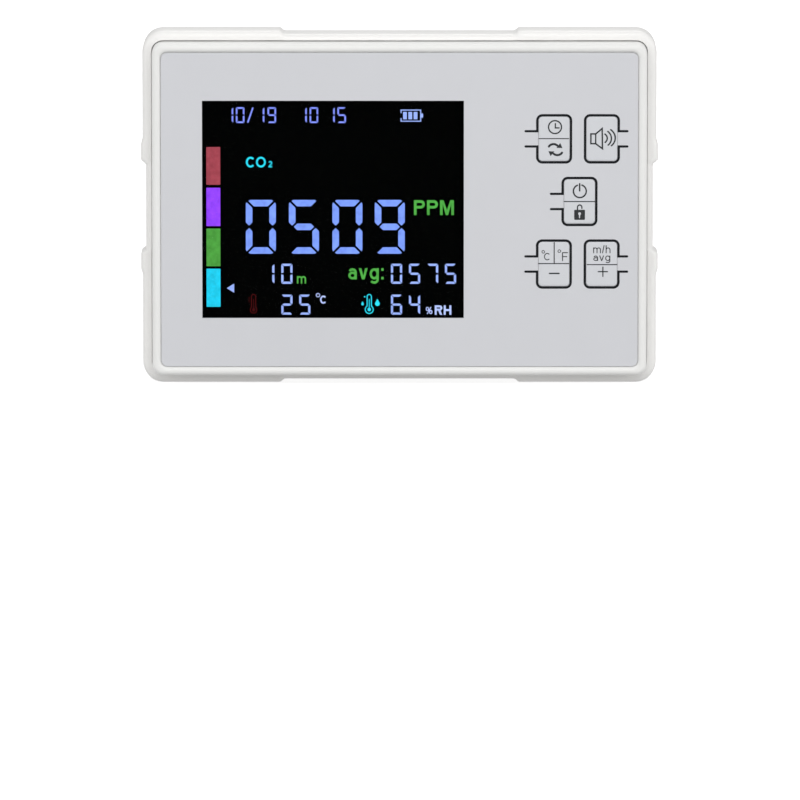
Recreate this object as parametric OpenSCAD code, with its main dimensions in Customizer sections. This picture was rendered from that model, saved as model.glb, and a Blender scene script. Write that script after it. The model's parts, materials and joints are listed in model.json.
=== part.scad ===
// Carbon dioxide monitor for a desk or a wall.
// X runs to the right of someone who faces the display, Y runs from the display to the back, and
// Z runs up. The origin is the middle of the footprint, on the surface that the monitor stands on.
// Outlines are drawn as they look from the front, about the middle of the face, and slab() gives
// them their depth.

/* [Case] */
// Width of the front bezel and of the rear cover
case_w = 140; // [139:0.5:144]
// Height of the front bezel and of the rear cover
case_h = 94.3; // [94:0.1:97]
// Depth from the crest of the rim to the back face
case_d = 32; // [31.5:0.1:34]
// Radius of the corners of the bezel and the cover
case_corner = 3; // [2.9:0.1:4]
// Thickness of the bezel's and the cover's walls
wall = 2; // [1.9:0.05:2.1]
// Radius that rounds the back edges
back_edge = 2.8; // [2.4:0.1:2.8]
// Width of the raised rim round the overlay
rim_w = 2.5; // [2.4:0.1:3]

/* [Middle frame] */
// Width over the corner sections
frame_w = 145.7; // [145.5:0.1:147]
// Height over the pads that are the feet
frame_h = 100.2; // [100:0.1:102]
// Depth from its front face to its back face
frame_d = 15; // [14.8:0.1:15.4]
// How far the bezel stands in front of it
bezel_proud = 7.8; // [7.5:0.1:8]
// Radius of its outer corners
frame_corner = 5.5; // [4.5:0.1:6]
// How far the sides step in between the bumps
side_step = 0.95; // [0.6:0.05:1]
// How far the top and bottom step in between the pads
pad_step = 0.95; // [0.6:0.05:1]
// Distance from the middle to the inner end of a pad
pad_start = 34; // [20:1:50]
// How far a side bump stands out beyond the corner sections
bump = 0.5; // [0.2:0.05:0.8]
// Gap round the bezel and the cover where they enter the frame
seam = 0.25; // [0.2:0.05:0.3]

/* [Display] */
// Width of the window
window_w = 74; // [70:0.5:75]
// Height of the window
window_h = 61.8; // [58:0.1:62]
// Distance of the window's middle to the left of the middle of the face
window_left = 18.8; // [18:0.1:20]

/* [Keys] */
// Width of a key's face
key_w = 8.74; // [8:0.02:9]
// Height of a key's face
key_h = 12.59; // [12:0.01:13]
// Distance from the middle to the left column of keys
key_left_x = 43.7; // [43:0.1:44]
// Distance from the middle to the right column of keys
key_right_x = 57.2; // [56.8:0.1:57.4]
// Distance from one row of keys to the next
key_row = 17.8; // [16:0.1:18]
// How far a key goes in
key_travel = 0.35; // [0.2:0.05:0.35]

/* [Vents] */
// Number of slots along the top edge
top_slots = 32; // [20:2:32]
// Distance between slots along the top edge
top_pitch = 4; // [3.5:0.1:4]
// Number of slots along each side edge
side_slots = 18; // [10:2:18]
// Distance between slots along a side edge
side_pitch = 4.115; // [3.5:0.005:4.2]
// Width of a slot
slot_w = 1.5; // [1:0.1:1.8]
// Number of columns of T-shaped vents
tee_columns = 12; // [6:2:12]
// Distance between columns of T-shaped vents
tee_pitch = 10.4; // [9:0.1:10.5]
// Distance between rows of T-shaped vents
tee_row = 8.25; // [7.6:0.05:8.4]

/* [Wall hanging] */
// Diameter of the keyhole's round entry
keyhole_d = 9; // [8:0.5:9]
// Width of the keyhole's slot
keyhole_slot = 5.8; // [5:0.1:5.8]
// Rise from the middle of the entry to the middle of the slot's round end
keyhole_rise = 9.6; // [8:0.1:9.6]
// Depth of the pocket behind the keyhole
pocket_d = 5; // [4.5:0.1:5.5]

/* [Hidden] */

$fn = 48;
tiny = 0.01;
past = 1;                                   // how far a cut runs past the face that it opens

// Depths along Y
crest_y = -case_d / 2;
back_y = case_d / 2;
frame_front_y = crest_y + bezel_proud;
frame_back_y = frame_front_y + frame_d;
overlay_sunk = 0.5;                         // how far the overlay lies below the rim's crest
overlay_y = crest_y + overlay_sunk;
film = 0.5;                                 // thickness of the overlay
plate_y = overlay_y + film;
plate_t = 2.2;                              // thickness of the bezel's front plate
plate_back_y = plate_y + plate_t;
overlap = 3.4;                              // how far bezel and cover reach into the frame
bezel_end_y = frame_front_y + overlap;
cover_end_y = frame_back_y - overlap;
inner_back_y = back_y - wall;
face_z = frame_h / 2;                       // height of the middle of the face

// Raised rim
rim_outer_r = 1.3;
rim_inner_r = rim_w - rim_outer_r;
recess_w = case_w - 2 * rim_w;
recess_h = case_h - 2 * rim_w;
recess_corner = 1.8;
overlay_gap = 0.1;

// Frame's walls and ledges
opening_w = case_w + 2 * seam;
opening_h = case_h + 2 * seam;
frame_edge = 1.6;                           // rounding of the frame's outer edges
ledge = 1.3;                                // thickness of each ledge
ledge_in = 1.5;                             // how far a ledge stands in from the case's outline
ledge_gap = 0.1;

// Snap ridges and the grooves that hold them
ridge_l = 8;
ridge_t = 0.8;
ridge_bite = 0.3;
groove_play = 0.15;
bezel_ridge_y = frame_front_y + 1.8;
cover_ridge_y = frame_back_y - 1.8;
RIDGES_X = [-45, 0, 45];                    // along the top and the bottom
RIDGES_Z = [-26, 26];                       // along the sides

// Display stack
window_z = 0.1;
window_play = 0.05;
flange = 2;                                 // lip round the pane, behind the overlay
flange_t = 1;
flange_play = 0.15;
flange_depth_play = 0.1;
plate_window_play = 0.3;                    // gap between the pane's edge and the plate's opening
gasket_t = 0.6;
gasket_w = 2;
glass_y = plate_back_y + gasket_t;
glass_t = 1.6;
glass_margin = [3, 3.1];                    // how far the glass reaches past the window
glass_w = window_w + 2 * glass_margin[0];
glass_h = window_h + 2 * glass_margin[1];
backlight_t = 2.4;
tray_wall = 1.3;
tray_play = 0.2;
tray_y = glass_y + 0.6;                     // front edge of the tray's wall
board_y = -4.8;                             // front face of the main board
board_t = 1.6;
board_back_y = board_y + board_t;
pin_pitch = 2.54;
display_pin_count = 24;
display_pin_r = 0.3;
pin_hole_r = 0.45;
pin_sunk = 0.2;                             // how far a pin's end stays inside its hole
pin_inset = 0.5;                            // from the glass's lower edge to the pins
display_pin_z = window_z - glass_h / 2 + pin_inset;

// Keys: middle of each face, from the middle of the front
key_middle_right = 0.45;                    // how far the middle key stands right of the others' middle
key_middle_x = (key_left_x + key_right_x) / 2 + key_middle_right;
key_middle_z = 2.4;
CLOCK = [key_left_x, key_middle_z + key_row];
SOUND = [key_right_x, key_middle_z + key_row];
POWER = [key_middle_x, key_middle_z];
UNIT = [key_left_x, key_middle_z - key_row];
AVERAGE = [key_right_x, key_middle_z - key_row];
KEYS = [CLOCK, SOUND, POWER, UNIT, AVERAGE];
key_corner = 1.1;
key_play = 0.08;                            // gap round a key's face
face_pocket_play = 0.25;                    // gap round it in the plate behind the overlay
key_dome = 0.2;                             // how far a face stands out of the overlay
face_pocket = 0.6;                          // depth left in the plate for the face to go in
shank_w = 6.4;
shank_h = 9.4;
shank_play = 0.25;
plunger_flange = [8, 11];
plunger_flange_t = 0.7;
plunger_gap = 0.1;                          // between the plate and the plunger's flange
stem_tip_y = plate_back_y + plunger_gap + plunger_flange_t;
stem_r = 1.75;
stem_play = 0.08;
stem_collar_r = 2.3;
stem_collar_t = 0.35;
switch_size = 6;
switch_t = 3.3;
switch_front_y = board_y - switch_t;
switch_lid = 0.9;                           // wall in front of a switch's cavity
switch_gap = 0.05;                          // between a stem and what it meets at either end
cavity_r = 2.5;
dome_h = 0.25;                              // height of a dome that is pressed flat
stem_end_y = switch_front_y + switch_lid + switch_gap + stem_collar_t;
dome_top_y = stem_end_y + key_travel + switch_gap;
cavity_floor_y = dome_top_y + dome_h;

// Main board
board_margin = [5, 5.15];                   // from the case's outer walls to the board's edges
board_w = case_w - 2 * board_margin[0];
board_h = case_h - 2 * board_margin[1];
board_corner = 1.5;
screw_inset = 3.2;                          // from the board's edges to a screw
screw_x = board_w / 2 - screw_inset;
screw_z = board_h / 2 - screw_inset;
middle_screw_x = 28;
SCREWS = [for (x = [-screw_x, middle_screw_x, screw_x], s = [-1, 1]) [x, s * screw_z]];
boss_r = 2.8;
pilot_r = 1;
screw_r = 0.9;
screw_head_r = 2;
screw_head_t = 1.3;
screw_l = 6;
screw_hole_r = 1.25;

// Charging port, on the left edge of the board
port_w = 8.94;
port_t = 3.26;
port_l = 7.4;
port_wall = 0.3;
port_tip_gap = 0.15;                        // from the port's tip to the frame's inner wall
port_tip_x = -(opening_w / 2 - port_tip_gap);
port_y = board_back_y + port_t / 2;
port_play = 0.35;
port_cut_l = 6;                             // how far its opening is cut in from the outside
port_overhang = 2.8;                        // how far the port stands past the board's tab
tab_x = port_tip_x + port_overhang;
tab_h = 16;
tab_overlap = 4;

// Gas sensor
gas_x = 36;
gas_z = 22;
gas_standoff = 1.6;                         // gap between the main board and the sensor's base
gas_y = board_back_y + gas_standoff;
gas_pin_reach = 15.5;
gas_base_t = 1;
gas_chamber_t = 7;

// Humidity sensor, on a finger of the board that slots set apart
humidity_x = 61;
humidity_z = 2.4;
humidity_size = 3;
finger_w = 7;                               // width of the finger between its slots
finger_l = 4.5;                             // how far the slots run in past the sensor's middle
finger_slot = 1;                            // width of each slot

// Battery
battery_x = -24;
battery_z = -20;
battery_w = 56;
battery_h = 36;
battery_t = 6.2;
battery_pad_t = 0.8;
cell_y = board_back_y + battery_pad_t;
socket_x = 17;
socket_z = -20;
socket_w = 8;
socket_h = 6;
socket_t = 5;
plug_h = 6;
plug_t = 3;
plug_rise = 5;                              // from the socket's middle to the plug's top
plug_top_z = socket_z + plug_rise;
lead_r = 0.6;
lead_gap = 2.4;
lead_straight = 7;                          // how far a lead's curve pulls straight out of the cell

// Vents
slot_start = 5.25;                          // inner end of a top slot, from the case's edge
side_start = 5;                             // the same for a side slot
slot_hidden = 0.5;                          // how far a slot runs on behind the frame's edge
tee_bar = 1.4;
tee_stem = 1.5;
tee_w = 5.35;
tee_h = 7;
tee_top_z = 35;                             // middle of the top row, above the middle of the face
filter_t = 1.2;

// Keyhole and its pocket
pocket_r = keyhole_d / 2 + 0.7;
pocket_wall = 1;
pocket_rise = keyhole_rise - 0.4;
pocket_floor_y = inner_back_y - pocket_d;

// ---- Shapes that repeat ----

// A rectangle with round corners
module rounded_rect(w, h, r) {
    square([w - 2 * r, h], center = true);
    square([w, h - 2 * r], center = true);
    for (sx = [-1, 1], sz = [-1, 1])
        translate([sx * (w / 2 - r), sz * (h / 2 - r)]) circle(r);
}

// A slot outline with round ends, centred, that runs up
module upright_slot(w, h) {
    square([w, h - w], center = true);
    for (s = [-1, 1]) translate([0, s * (h - w) / 2]) circle(w / 2);
}

// An outline drawn on the face, made solid from depth y0 back to depth y1
module slab(y0, y1) {
    translate([0, y1, face_z]) rotate([90, 0, 0]) linear_extrude(y1 - y0) children();
}

// A post along Y at a place on the face
module post(r, y0, y1, at = [0, 0]) {
    translate([at[0], y0, face_z + at[1]]) rotate([-90, 0, 0]) cylinder(r = r, h = y1 - y0);
}

// A block about a place on the face
module block(w, h, y0, y1, at = [0, 0]) {
    translate([at[0] - w / 2, y0, face_z + at[1] - h / 2]) cube([w, y1 - y0, h]);
}

// A profile carried round a rounded rectangle; its x runs outwards from the outline, its y up
module carried(w, h, r) {
    for (s = [-1, 1]) {
        translate([s * w / 2, 0, 0]) rotate([90, 0, 0])
            linear_extrude(h - 2 * r, center = true) mirror([s < 0 ? 1 : 0, 0]) children();
        translate([0, s * h / 2, 0]) rotate([90, 0, 90])
            linear_extrude(w - 2 * r, center = true) mirror([s < 0 ? 1 : 0, 0]) children();
    }
    for (quarter = [0:3]) {
        sx = quarter == 0 || quarter == 3 ? 1 : -1;
        sy = quarter < 2 ? 1 : -1;
        translate([sx * (w / 2 - r), sy * (h / 2 - r), 0]) rotate(90 * quarter)
            rotate_extrude(angle = 90) translate([r, 0]) children();
    }
}

// The quarter of a disc that rounds an edge
module quarter_disc(r) {
    intersection() {
        circle(r);
        square(r);
    }
}

// A slab whose upper edge is rounded: drawn flat, rising along Z
module rounded_slab(w, h, corner, edge, depth) {
    linear_extrude(depth - edge) rounded_rect(w, h, corner);
    translate([0, 0, depth - edge]) {
        linear_extrude(edge) rounded_rect(w - 2 * edge, h - 2 * edge, corner - edge);
        carried(w - 2 * edge, h - 2 * edge, corner - edge) quarter_disc(edge);
    }
}

// Snap ridges on the walls at one depth, grown by extra for the grooves that take them
module ridges(y, out, extra = 0) {
    long = ridge_l + 2 * extra;
    thick = ridge_t + 2 * extra;
    for (x = RIDGES_X, s = [-1, 1])
        block(long, out + wall / 2, y - thick / 2, y + thick / 2,
              [x, s * (case_h / 2 + (out - wall / 2) / 2)]);
    for (z = RIDGES_Z, s = [-1, 1])
        block(out + wall / 2, long, y - thick / 2, y + thick / 2,
              [s * (case_w / 2 + (out - wall / 2) / 2), z]);
}

// ---- Case ----

module front_bezel() {
    inner_w = case_w - 2 * wall;
    inner_h = case_h - 2 * wall;
    color("white") difference() {
        union() {
            difference() {
                translate([0, bezel_end_y, face_z]) rotate([90, 0, 0])
                    rounded_slab(case_w, case_h, case_corner, rim_outer_r,
                                 bezel_end_y - crest_y);
                slab(plate_back_y, bezel_end_y + past)
                    rounded_rect(inner_w, inner_h, case_corner - wall + tiny);
            }
            ridges(bezel_ridge_y, seam + ridge_bite);
            for (at = SCREWS) post(boss_r, plate_back_y - tiny, board_y, at);
        }
        slab(crest_y - past, plate_y) rounded_rect(recess_w, recess_h, recess_corner);
        translate([0, crest_y, face_z]) rotate([90, 0, 0])
            carried(recess_w, recess_h, recess_corner) rim_flare();
        translate([-window_left, 0, window_z]) {
            slab(plate_y - tiny, plate_y + flange_t + flange_depth_play)
                square([window_w + 2 * flange + 2 * flange_play,
                        window_h + 2 * flange + 2 * flange_play], center = true);
            slab(plate_y, plate_back_y + past)
                square([window_w + 2 * plate_window_play, window_h + 2 * plate_window_play],
                       center = true);
        }
        for (at = KEYS) {
            block(key_w + 2 * face_pocket_play, key_h + 2 * face_pocket_play,
                  plate_y - tiny, plate_y + face_pocket, at);
            block(shank_w + 2 * shank_play, shank_h + 2 * shank_play,
                  plate_y, plate_back_y + past, at);
        }
        for (at = SCREWS) post(pilot_r, board_y - screw_l, board_y + past, at);
    }
}

// What is cut away to round the rim's inner edge, from the recess's wall outwards
module rim_flare() {
    recess_d = plate_y - crest_y;
    difference() {
        translate([-tiny, -recess_d]) square([rim_inner_r + tiny, recess_d + past]);
        translate([rim_inner_r, -rim_inner_r]) circle(rim_inner_r);
    }
}

// The frame seen from the front: corner sections, stepped sides, side bumps, pads
module frame_outline() {
    side_x = frame_w / 2;
    top_z = frame_h / 2;
    ramp = 1.5;
    bump_start = 13.5;
    bump_end = 17.5;
    bump_fade = 2;
    difference() {
        union() {
            rounded_rect(frame_w, frame_h, frame_corner);
            polygon([[side_x + bump, -bump_end], [side_x + bump, bump_end],
                     [side_x, bump_end + bump_fade], [-side_x, bump_end + bump_fade],
                     [-side_x - bump, bump_end], [-side_x - bump, -bump_end],
                     [-side_x, -bump_end - bump_fade], [side_x, -bump_end - bump_fade]]);
        }
        for (s = [0, 1]) {
            mirror([s, 0]) polygon([[side_x - side_step, ramp - bump_start],
                                    [side_x + bump, -bump_start],
                                    [side_x + bump + past, -bump_start],
                                    [side_x + bump + past, bump_start],
                                    [side_x + bump, bump_start],
                                    [side_x - side_step, bump_start - ramp]]);
            mirror([0, s]) polygon([[ramp - pad_start, top_z - pad_step],
                                    [-pad_start, top_z], [-pad_start, top_z + past],
                                    [pad_start, top_z + past], [pad_start, top_z],
                                    [pad_start - ramp, top_z - pad_step]]);
        }
    }
}

module mid_frame() {
    front_ledge_y = bezel_end_y + ledge_gap;
    back_ledge_y = cover_end_y - ledge_gap;
    wide = frame_w + 2 * bump;
    color("whitesmoke") difference() {
        intersection() {
            slab(frame_front_y, frame_back_y) frame_outline();
            translate([0, (frame_front_y + frame_back_y) / 2, 0])
                linear_extrude(frame_h) rounded_rect(wide, frame_d, frame_edge);
            translate([0, (frame_front_y + frame_back_y) / 2, face_z]) rotate([90, 0, 90])
                linear_extrude(wide, center = true) rounded_rect(frame_d, frame_h, frame_edge);
        }
        slab(frame_front_y - past, front_ledge_y)
            rounded_rect(opening_w, opening_h, case_corner + seam);
        slab(back_ledge_y, frame_back_y + past)
            rounded_rect(opening_w, opening_h, case_corner + seam);
        slab(front_ledge_y + ledge, back_ledge_y - ledge)
            rounded_rect(opening_w, opening_h, case_corner + seam);
        slab(frame_front_y, frame_back_y)
            rounded_rect(case_w - 2 * ledge_in, case_h - 2 * ledge_in, case_corner - ledge_in);
        ridges(bezel_ridge_y, seam + ridge_bite + groove_play, groove_play);
        ridges(cover_ridge_y, seam + ridge_bite + groove_play, groove_play);
        translate([-frame_w / 2 - past, port_y, face_z]) rotate([90, 0, 90])
            linear_extrude(port_cut_l)
                upright_slot(port_t + 2 * port_play, port_w + 2 * port_play);
    }
}

// The cut of one edge slot, slot_w wide, through the back wall and on round the corner through the
// side wall, down to the frame. Its x runs outwards from the case's outer wall, its y backwards from
// the back face.
module slot_cut(start) {
    length = back_y - frame_back_y + slot_hidden;
    linear_extrude(slot_w, center = true)
        translate([-start, -length]) square([start + past, length + past]);
}

// One T-shaped vent that is centred, with its bar at the right as seen from the front
module tee() {
    translate([tee_w / 2 - tee_bar, -tee_h / 2]) square([tee_bar, tee_h]);
    translate([-tee_w / 2, -tee_stem / 2]) square([tee_w, tee_stem]);
}

module keyhole_cut() {
    slab(inner_back_y - past, back_y + past) {
        circle(keyhole_d / 2);
        translate([0, keyhole_rise]) circle(keyhole_slot / 2);
        translate([-keyhole_slot / 2, 0]) square([keyhole_slot, keyhole_rise]);
    }
}

module rear_cover() {
    inner_w = case_w - 2 * wall;
    inner_h = case_h - 2 * wall;
    color("gainsboro") difference() {
        union() {
            difference() {
                translate([0, cover_end_y, face_z]) rotate([-90, 0, 0])
                    rounded_slab(case_w, case_h, case_corner, back_edge,
                                 back_y - cover_end_y);
                slab(cover_end_y - past, inner_back_y)
                    rounded_rect(inner_w, inner_h, case_corner - wall + tiny);
            }
            ridges(cover_ridge_y, seam + ridge_bite);
        }
        for (i = [0 : top_slots - 1])
            translate([(i - (top_slots - 1) / 2) * top_pitch, back_y, face_z + case_h / 2])
                rotate([0, -90, 0]) slot_cut(slot_start);
        for (s = [-1, 1], i = [0 : side_slots - 1])
            translate([s * case_w / 2, back_y, face_z + (i - (side_slots - 1) / 2) * side_pitch])
                mirror([s < 0 ? 1 : 0, 0, 0]) slot_cut(side_start);
        slab(inner_back_y - past, back_y + past)
            for (i = [0 : tee_columns - 1], row = [0:2])
                translate([(i - (tee_columns - 1) / 2) * tee_pitch, tee_top_z - row * tee_row])
                    mirror([row == 1 ? 0 : 1, 0]) tee();
        keyhole_cut();
    }
}

// The pocket's outline, grown by extra
module pocket_outline(extra = 0) {
    r = pocket_r + extra;
    circle(r);
    translate([0, pocket_rise]) circle(r);
    translate([-r, 0]) square([2 * r, pocket_rise]);
}

module hanger_pocket() {
    dimple_r = 1.2;
    dimple_d = 0.4;
    dimple_z = 5.6;
    color("dimgray") difference() {
        slab(pocket_floor_y - pocket_wall, inner_back_y) pocket_outline(pocket_wall);
        slab(pocket_floor_y, inner_back_y + past) pocket_outline();
        post(dimple_r, pocket_floor_y - dimple_d, pocket_floor_y + tiny, [0, dimple_z]);
    }
}

module dust_filter() {
    margin = 1.5;
    pocket_gap = 0.3;
    low = tee_top_z - 2 * tee_row - tee_h / 2 - margin;
    high = tee_top_z + tee_h / 2 + margin;
    half_w = (tee_columns - 1) / 2 * tee_pitch + tee_w / 2 + margin;
    color("darkslategray") slab(inner_back_y - filter_t, inner_back_y) difference() {
        translate([-half_w, low]) square([2 * half_w, high - low]);
        pocket_outline(pocket_wall + pocket_gap);
    }
}

module front_overlay() {
    color("lightgray") slab(overlay_y, plate_y) difference() {
        rounded_rect(recess_w - 2 * overlay_gap, recess_h - 2 * overlay_gap,
                     recess_corner - overlay_gap);
        translate([-window_left, window_z]) square([window_w, window_h], center = true);
        for (at = KEYS) translate(at)
            rounded_rect(key_w + 2 * key_play, key_h + 2 * key_play, key_corner + key_play);
    }
}

// ---- Display ----

module at_window() {
    translate([-window_left, window_z]) children();
}

module display_window() {
    color("black", 0.6) {
        slab(overlay_y, plate_y + tiny) at_window()
            square([window_w - 2 * window_play, window_h - 2 * window_play], center = true);
        slab(plate_y, plate_y + flange_t) at_window()
            square([window_w + 2 * flange, window_h + 2 * flange], center = true);
    }
}

module display_gasket() {
    color("black") slab(plate_back_y, glass_y) at_window() difference() {
        square([glass_w, glass_h], center = true);
        square([glass_w - 2 * gasket_w, glass_h - 2 * gasket_w], center = true);
    }
}

module display_glass() {
    color("black") slab(glass_y, glass_y + glass_t) at_window()
        square([glass_w, glass_h], center = true);
}

module display_backlight() {
    ledge_for_pins = 2;
    color("ivory") slab(glass_y + glass_t, glass_y + glass_t + backlight_t) at_window()
        square([glass_w - ledge_for_pins, glass_h - ledge_for_pins], center = true);
}

module display_tray() {
    floor_y = glass_y + glass_t + backlight_t;
    inner = [glass_w + 2 * tray_play, glass_h + 2 * tray_play];
    pin_slot = 1;
    color("dimgray") difference() {
        slab(tray_y, board_y) at_window()
            square([inner[0] + 2 * tray_wall, inner[1] + 2 * tray_wall], center = true);
        slab(tray_y - past, floor_y) at_window() square(inner, center = true);
        slab(floor_y - past, board_y + past) translate([-window_left, display_pin_z])
            square([display_pin_count * pin_pitch, pin_slot], center = true);
    }
}

// Where the display's pins stand
function display_pin(i) = [(i - (display_pin_count - 1) / 2) * pin_pitch - window_left,
                           display_pin_z];

module display_pins() {
    color("silver") for (i = [0 : display_pin_count - 1])
        post(display_pin_r, glass_y + glass_t, board_back_y - pin_sunk, display_pin(i));
}

// ---- Keys ----

module key_face(at) {
    color("lightgray") slab(overlay_y - key_dome, plate_y) translate(at)
        rounded_rect(key_w, key_h, key_corner);
}

module key_plunger(at) {
    color("white") {
        block(shank_w, shank_h, plate_y, plate_back_y + plunger_gap + tiny, at);
        block(plunger_flange[0], plunger_flange[1], plate_back_y + plunger_gap, stem_tip_y, at);
    }
}

module key_stem(at) {
    color("black") {
        post(stem_r, stem_tip_y, stem_end_y, at);
        post(stem_collar_r, stem_end_y - stem_collar_t, stem_end_y, at);
    }
}

module key_clock_face() { key_face(CLOCK); }
module key_clock_plunger() { key_plunger(CLOCK); }
module key_clock_stem() { key_stem(CLOCK); }
module key_sound_face() { key_face(SOUND); }
module key_sound_plunger() { key_plunger(SOUND); }
module key_sound_stem() { key_stem(SOUND); }
module key_power_face() { key_face(POWER); }
module key_power_plunger() { key_plunger(POWER); }
module key_power_stem() { key_stem(POWER); }
module key_unit_face() { key_face(UNIT); }
module key_unit_plunger() { key_plunger(UNIT); }
module key_unit_stem() { key_stem(UNIT); }
module key_average_face() { key_face(AVERAGE); }
module key_average_plunger() { key_plunger(AVERAGE); }
module key_average_stem() { key_stem(AVERAGE); }

module switch_bases() {
    color("dimgray") for (at = KEYS) difference() {
        block(switch_size, switch_size, switch_front_y, board_y, at);
        post(stem_r + stem_play, switch_front_y - past, switch_front_y + switch_lid + tiny, at);
        post(cavity_r, switch_front_y + switch_lid, cavity_floor_y, at);
    }
}

// Thin domes under the stems, drawn pressed flat so that the stems clear them all the way
module switch_domes() {
    rim_r = 2.2;
    crown_r = 1.2;
    color("silver") for (at = KEYS) {
        post(crown_r, dome_top_y, cavity_floor_y, at);
        post(rim_r, dome_top_y + dome_h / 2, cavity_floor_y, at);
    }
}

module switch_leads() {
    lead = [0.9, 0.7];
    lead_t = 0.25;
    lead_spread = 2;
    color("silver") for (at = KEYS, sx = [-1, 1], sz = [-1, 1])
        block(lead[0], lead[1], board_y - lead_t, board_y,
              at + [sx * (switch_size + lead[0]) / 2, sz * lead_spread]);
}

// ---- Main board ----

GAS_PINS = [
    for (i = [-2 : 2]) [gas_x - gas_pin_reach, gas_z + i * pin_pitch],
    for (i = [-1.5 : 1.5]) [gas_x + gas_pin_reach, gas_z + i * pin_pitch]
];

module main_board() {
    relief = [board_w / 2 - humidity_x + finger_l, finger_slot];
    color("darkgreen") slab(board_y, board_back_y) difference() {
        union() {
            rounded_rect(board_w, board_h, board_corner);
            translate([tab_x, -tab_h / 2]) square([-board_w / 2 - tab_x + tab_overlap, tab_h]);
        }
        for (at = SCREWS) translate(at) circle(screw_hole_r);
        for (i = [0 : display_pin_count - 1]) translate(display_pin(i)) circle(pin_hole_r);
        for (at = GAS_PINS) translate(at) circle(pin_hole_r);
        for (s = [-1, 1])
            translate([humidity_x - finger_l,
                       humidity_z + s * (finger_w + finger_slot) / 2 - finger_slot / 2])
                square(relief + [past, 0]);
    }
}

module board_screws() {
    cross = [0.5, 2.4];
    cross_d = 0.7;
    color("silver") for (at = SCREWS) difference() {
        union() {
            post(screw_r, board_back_y - screw_l, board_back_y + tiny, at);
            post(screw_head_r, board_back_y, board_back_y + screw_head_t, at);
        }
        for (turned = [0, 1])
            block(cross[turned], cross[1 - turned], board_back_y + screw_head_t - cross_d,
                  board_back_y + screw_head_t + past, at);
    }
}

// A square chip on the back of the board
module chip(size, thickness, at) {
    color("black") block(size, size, board_back_y, board_back_y + thickness, at);
}

module controller_chip() { chip(12, 1.4, [-8, 16]); }

module charger_chip() { chip(5, 1.2, [-50, 9]); }

module board_capacitors() {
    can_r = 2.5;
    can_h = 5.5;
    row_z = 26;
    color("silver") for (x = [-46, -38, -30])
        post(can_r, board_back_y, board_back_y + can_h, [x, row_z]);
}

module humidity_sensor() {
    at = [humidity_x, humidity_z];
    top_y = board_back_y + 1.1;
    port_r = 0.6;
    port_d = 0.3;
    color("black") difference() {
        block(humidity_size, humidity_size, board_back_y, top_y, at);
        post(port_r, top_y - port_d, top_y + past, at);
    }
}

module buzzer() {
    at = [46, -28];
    body_r = 6;
    top_y = board_back_y + 5.5;
    sound_hole_r = 1;
    sound_hole_d = 1.5;
    color("black") difference() {
        post(body_r, board_back_y, top_y, at);
        post(sound_hole_r, top_y - sound_hole_d, top_y + past, at);
    }
}

// ---- Gas sensor ----

module gas_sensor_base() {
    base_margin = 1.5;
    base_h = 20;
    color("darkgreen") slab(gas_y, gas_y + gas_base_t) difference() {
        translate([gas_x, gas_z])
            square([2 * (gas_pin_reach + base_margin), base_h], center = true);
        for (at = GAS_PINS) translate(at) circle(pin_hole_r);
    }
}

module gas_sensor_chamber() {
    chamber = [26, 18];
    chamber_corner = 2;
    y0 = gas_y + gas_base_t;
    color("gold") slab(y0, y0 + gas_chamber_t)
        translate([gas_x, gas_z]) rounded_rect(chamber[0], chamber[1], chamber_corner);
}

module gas_sensor_filter() {
    patch = [17, 9];
    patch_corner = 1;
    patch_t = 0.6;
    y0 = gas_y + gas_base_t + gas_chamber_t;
    color("white") slab(y0, y0 + patch_t)
        translate([gas_x, gas_z]) rounded_rect(patch[0], patch[1], patch_corner);
}

module gas_sensor_pins() {
    color("silver") for (at = GAS_PINS)
        post(display_pin_r, board_y + pin_sunk, gas_y + gas_base_t - pin_sunk, at);
}

// ---- Battery ----

module battery_pad() {
    margin = 3;
    color("dimgray") slab(board_back_y, cell_y) translate([battery_x, battery_z])
        square([battery_w - 2 * margin, battery_h - 2 * margin], center = true);
}

module battery_cell() {
    cell_corner = 2;
    color("silver") slab(cell_y, cell_y + battery_t) translate([battery_x, battery_z])
        rounded_rect(battery_w, battery_h, cell_corner);
}

module battery_socket() {
    y1 = board_back_y + socket_t;
    socket_wall = 0.8;
    color("ivory") difference() {
        block(socket_w, socket_h, board_back_y, y1, [socket_x, socket_z]);
        block(socket_w - 2 * socket_wall, socket_h, board_back_y + socket_wall,
              y1 - socket_wall, [socket_x, socket_z + socket_wall]);
    }
}

module battery_plug() {
    plug_w = 6;
    plug_y = board_back_y + (socket_t - plug_t) / 2;
    color("white") block(plug_w, plug_h, plug_y, plug_y + plug_t,
                         [socket_x, plug_top_z - plug_h / 2]);
}

// Point at t along a cubic curve, and the direction there
function curve_at(c, t) = (1 - t) ^ 3 * c[0] + 3 * t * (1 - t) ^ 2 * c[1]
    + 3 * t ^ 2 * (1 - t) * c[2] + t ^ 3 * c[3];
function curve_way(c, t) = 3 * (1 - t) ^ 2 * (c[1] - c[0])
    + 6 * t * (1 - t) * (c[2] - c[1]) + 3 * t ^ 2 * (c[3] - c[2]);

// A round lead along a cubic curve that stays near one XZ plane
module lead(c) {
    sides = 8;
    rings = 18;
    points = [for (k = [0 : rings])
        let (t = k / rings,
             way = curve_way(c, t) / norm(curve_way(c, t)),
             side = cross(way, [0, 1, 0]) / norm(cross(way, [0, 1, 0])),
             up = cross(side, way))
        for (j = [0 : sides - 1])
            curve_at(c, t) + lead_r * (cos(j * 360 / sides) * side + sin(j * 360 / sides) * up)];
    walls = [for (k = [0 : rings - 1], j = [0 : sides - 1])
        [k * sides + j, k * sides + (j + 1) % sides,
         (k + 1) * sides + (j + 1) % sides, (k + 1) * sides + j]];
    polyhedron(points, concat([[for (j = [sides - 1 : -1 : 0]) j]], walls,
                              [[for (j = [0 : sides - 1]) rings * sides + j]]));
}

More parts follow.
